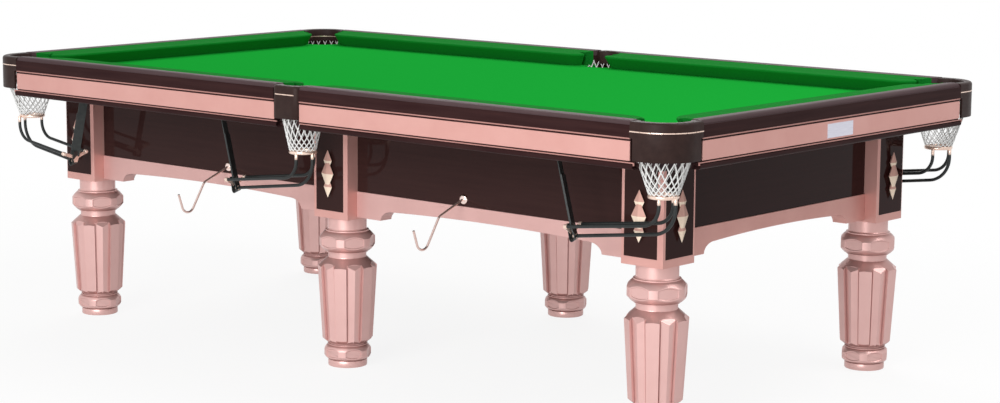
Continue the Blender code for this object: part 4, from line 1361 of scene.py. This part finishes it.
def makeHook(end):
    s = hookSizes
    node = "rest_hook_" + end
    joint = next(j for j in frame["record"]["behaviour"]["joints"] if j["name"] == "hook_swing_" + end)
    pivot = Vector(joint["pos_m"])
    elbow, shank = Vector(s["arm"]), Vector(s["shank"])
    low = elbow + shank
    length, rise = s["tip"]
    start = math.degrees(math.atan2(shank.y, shank.x)) - 90
    centre = low - spoke(start).to_2d() * s["bend"]
    hook = [Vector(point) for point in arcPoints(centre, s["bend"], s["bend"], start, rise - 90, 20)]
    tip = hook[-1] + spoke(rise).to_2d() * length
    plan = [*rounded([Vector((s["start"], 0)), elbow, low], s["elbow"], 8)[:-1], *hook, tip]
    wire = sweep([pivot + Vector((0, -a, b)) for a, b in plan], roundSection(*s["wire"]))
    radius, height = s["rose"]
    pin, depth = s["pin"]
    dome = [(r, z + 0.0005) for r, z in arcPoints((0, 0), radius, height, 0, 88, 10)]
    profile = [(0.0005, -depth), (pin, -depth), (pin, 0.0004), (radius - 0.001, 0.0004), (radius, 0.0012),
               *dome[1:]]
    rose = turned(profile, 32, Matrix.Translation(pivot) @ Matrix.Rotation(math.pi / 2, 4, "X"))
    addPiece(f"hook_wire_{end}", wire, bronze, [node], body=node)
    addPiece(f"hook_rose_{end}", rose, chrome, [node], body=node)


# bare plate on the right-hand band

plateSizes = {"width": 0.128, "height": 0.040, "rise": -0.0333, "thick": 0.0012, "border": 0.004,
              "sink": 0.0005, "edge": 0.0003}


def makePlate():
    s = plateSizes
    face, centre = noseX + railSizes["reach"], bedZ + s["rise"]
    wide, tall, border, thick = s["width"] / 2, s["height"] / 2, s["border"], s["thick"]
    rings = []
    for inset, out in ((0, -s["sink"]), (0, thick), (border * 0.7, thick), (border, thick - s["sink"])):
        rings.append([Vector((face + out, a - math.copysign(inset, a), centre + c - math.copysign(inset, c)))
                      for a, c in rectangle(-wide, -tall, wide, tall)])
    addPiece("band_plate", loft(rings), plateSilver, [], bevel=s["edge"], smooth=20)


for side in sides:
    makeRail(side)
    makeCushion(side)
    makeApron(side)
print("rails, cushions and aprons made")
makeBed()
for place in places:
    makeCap(place)
    makeNet(place)
    makeBallRail(place)
print("pockets made")
for place in places:
    makePost(place)
makeLegs()
makeFeet()
for end in ("left", "right"):
    makeHook(end)
makePlate()
print("legs, posts and hooks made")
for node, finish in (("slate_bed", stone), ("subframe", bearer)):
    for slot in frame["nodes"][node].material_slots:
        slot.material = finish


# stage and light

stageSizes = {
    "floor": (30, 64),  # radius and sides
    "squash": (0.55, 0.8, 0),
    "fade": (1.0, 2.6),
    "shadowShare": 0.88,
    "bounce": 0.7,
    "ambient": 0.32,
    "aim": (0, 0, 0.4),
}
lamps = {
    "key": {"at": (1.6, -6.0, 3.6), "size": (3.5, 2.5), "power": 170},
    "low": {"at": (2.4, -7.2, 0.9), "size": (5.0, 1.2), "power": 210},
    "top": {"at": (2.8, 1.0, 4.8), "size": (1.8, 1.8), "power": 62},
    "back": {"at": (-3.0, 3.2, 4.4), "size": (4.0, 2.5), "power": 130},
    "glint": {"at": (2.95, 0.5, 2.75), "size": (2.4, 0.3), "power": 13},
}


def makeStage():
    s = stageSizes
    shape = bmesh.new()
    shape.faces.new([shape.verts.new((x, y, 0)) for x, y in roundSection(*s["floor"])])
    mesh = meshFrom(shape, "floor")
    floor = bpy.data.objects.new("floor", mesh)
    scene.collection.objects.link(floor)
    material = bpy.data.materials.new("pale_floor")
    material.use_nodes = True
    tree = material.node_tree
    tree.nodes.clear()
    seen = seenByEye(tree)
    pale = addNode(tree, "MapRange", {"Value": seen, "To Min": s["bounce"]})
    diffuse = addNode(tree, "BsdfDiffuse", {"Color": pale.outputs["Result"]})
    white = addNode(tree, "Emission", {"Strength": 1})
    where = addNode(tree, "NewGeometry").outputs["Position"]
    squashed = addNode(tree, "VectorMath", {0: where, 1: s["squash"]}, operation="MULTIPLY")
    far = addNode(tree, "VectorMath", {0: squashed.outputs["Vector"]}, operation="LENGTH")
    near, beyond = s["fade"]
    fade = addNode(tree, "MapRange", {"Value": far.outputs["Value"], "From Min": near, "From Max": beyond,
                                      "To Min": s["shadowShare"]}, interpolation_type="SMOOTHSTEP")
    share = addNode(tree, "Math", {0: fade.outputs["Result"], 1: seen}, operation="MULTIPLY")
    mix = addNode(tree, "MixShader", {"Fac": share.outputs[0], 1: diffuse.outputs["BSDF"],
                                      2: white.outputs["Emission"]})
    addNode(tree, "OutputMaterial", {"Surface": mix.outputs["Shader"]})
    mesh.materials.append(material)


def makeLight():
    world = bpy.data.worlds.new("studio")
    scene.world = world
    world.use_nodes = True
    tree = world.node_tree
    seen = seenByEye(tree)
    level = addNode(tree, "MapRange", {"Value": seen, "To Min": stageSizes["ambient"], "To Max": 1})
    feed(tree, tree.nodes["Background"], {"Color": (1, 1, 1, 1), "Strength": level.outputs["Result"]})
    for name, lamp in lamps.items():
        data = bpy.data.lights.new(name, "AREA")
        data.shape = "RECTANGLE"
        data.size, data.size_y = lamp["size"]
        data.energy = lamp["power"]
        light = bpy.data.objects.new(name, data)
        light.location = lamp["at"]
        aim = Vector(stageSizes["aim"]) - Vector(lamp["at"])
        light.rotation_euler = aim.to_track_quat("-Z", "Y").to_euler()
        scene.collection.objects.link(light)


makeStage()
makeLight()
print("stage and light made")
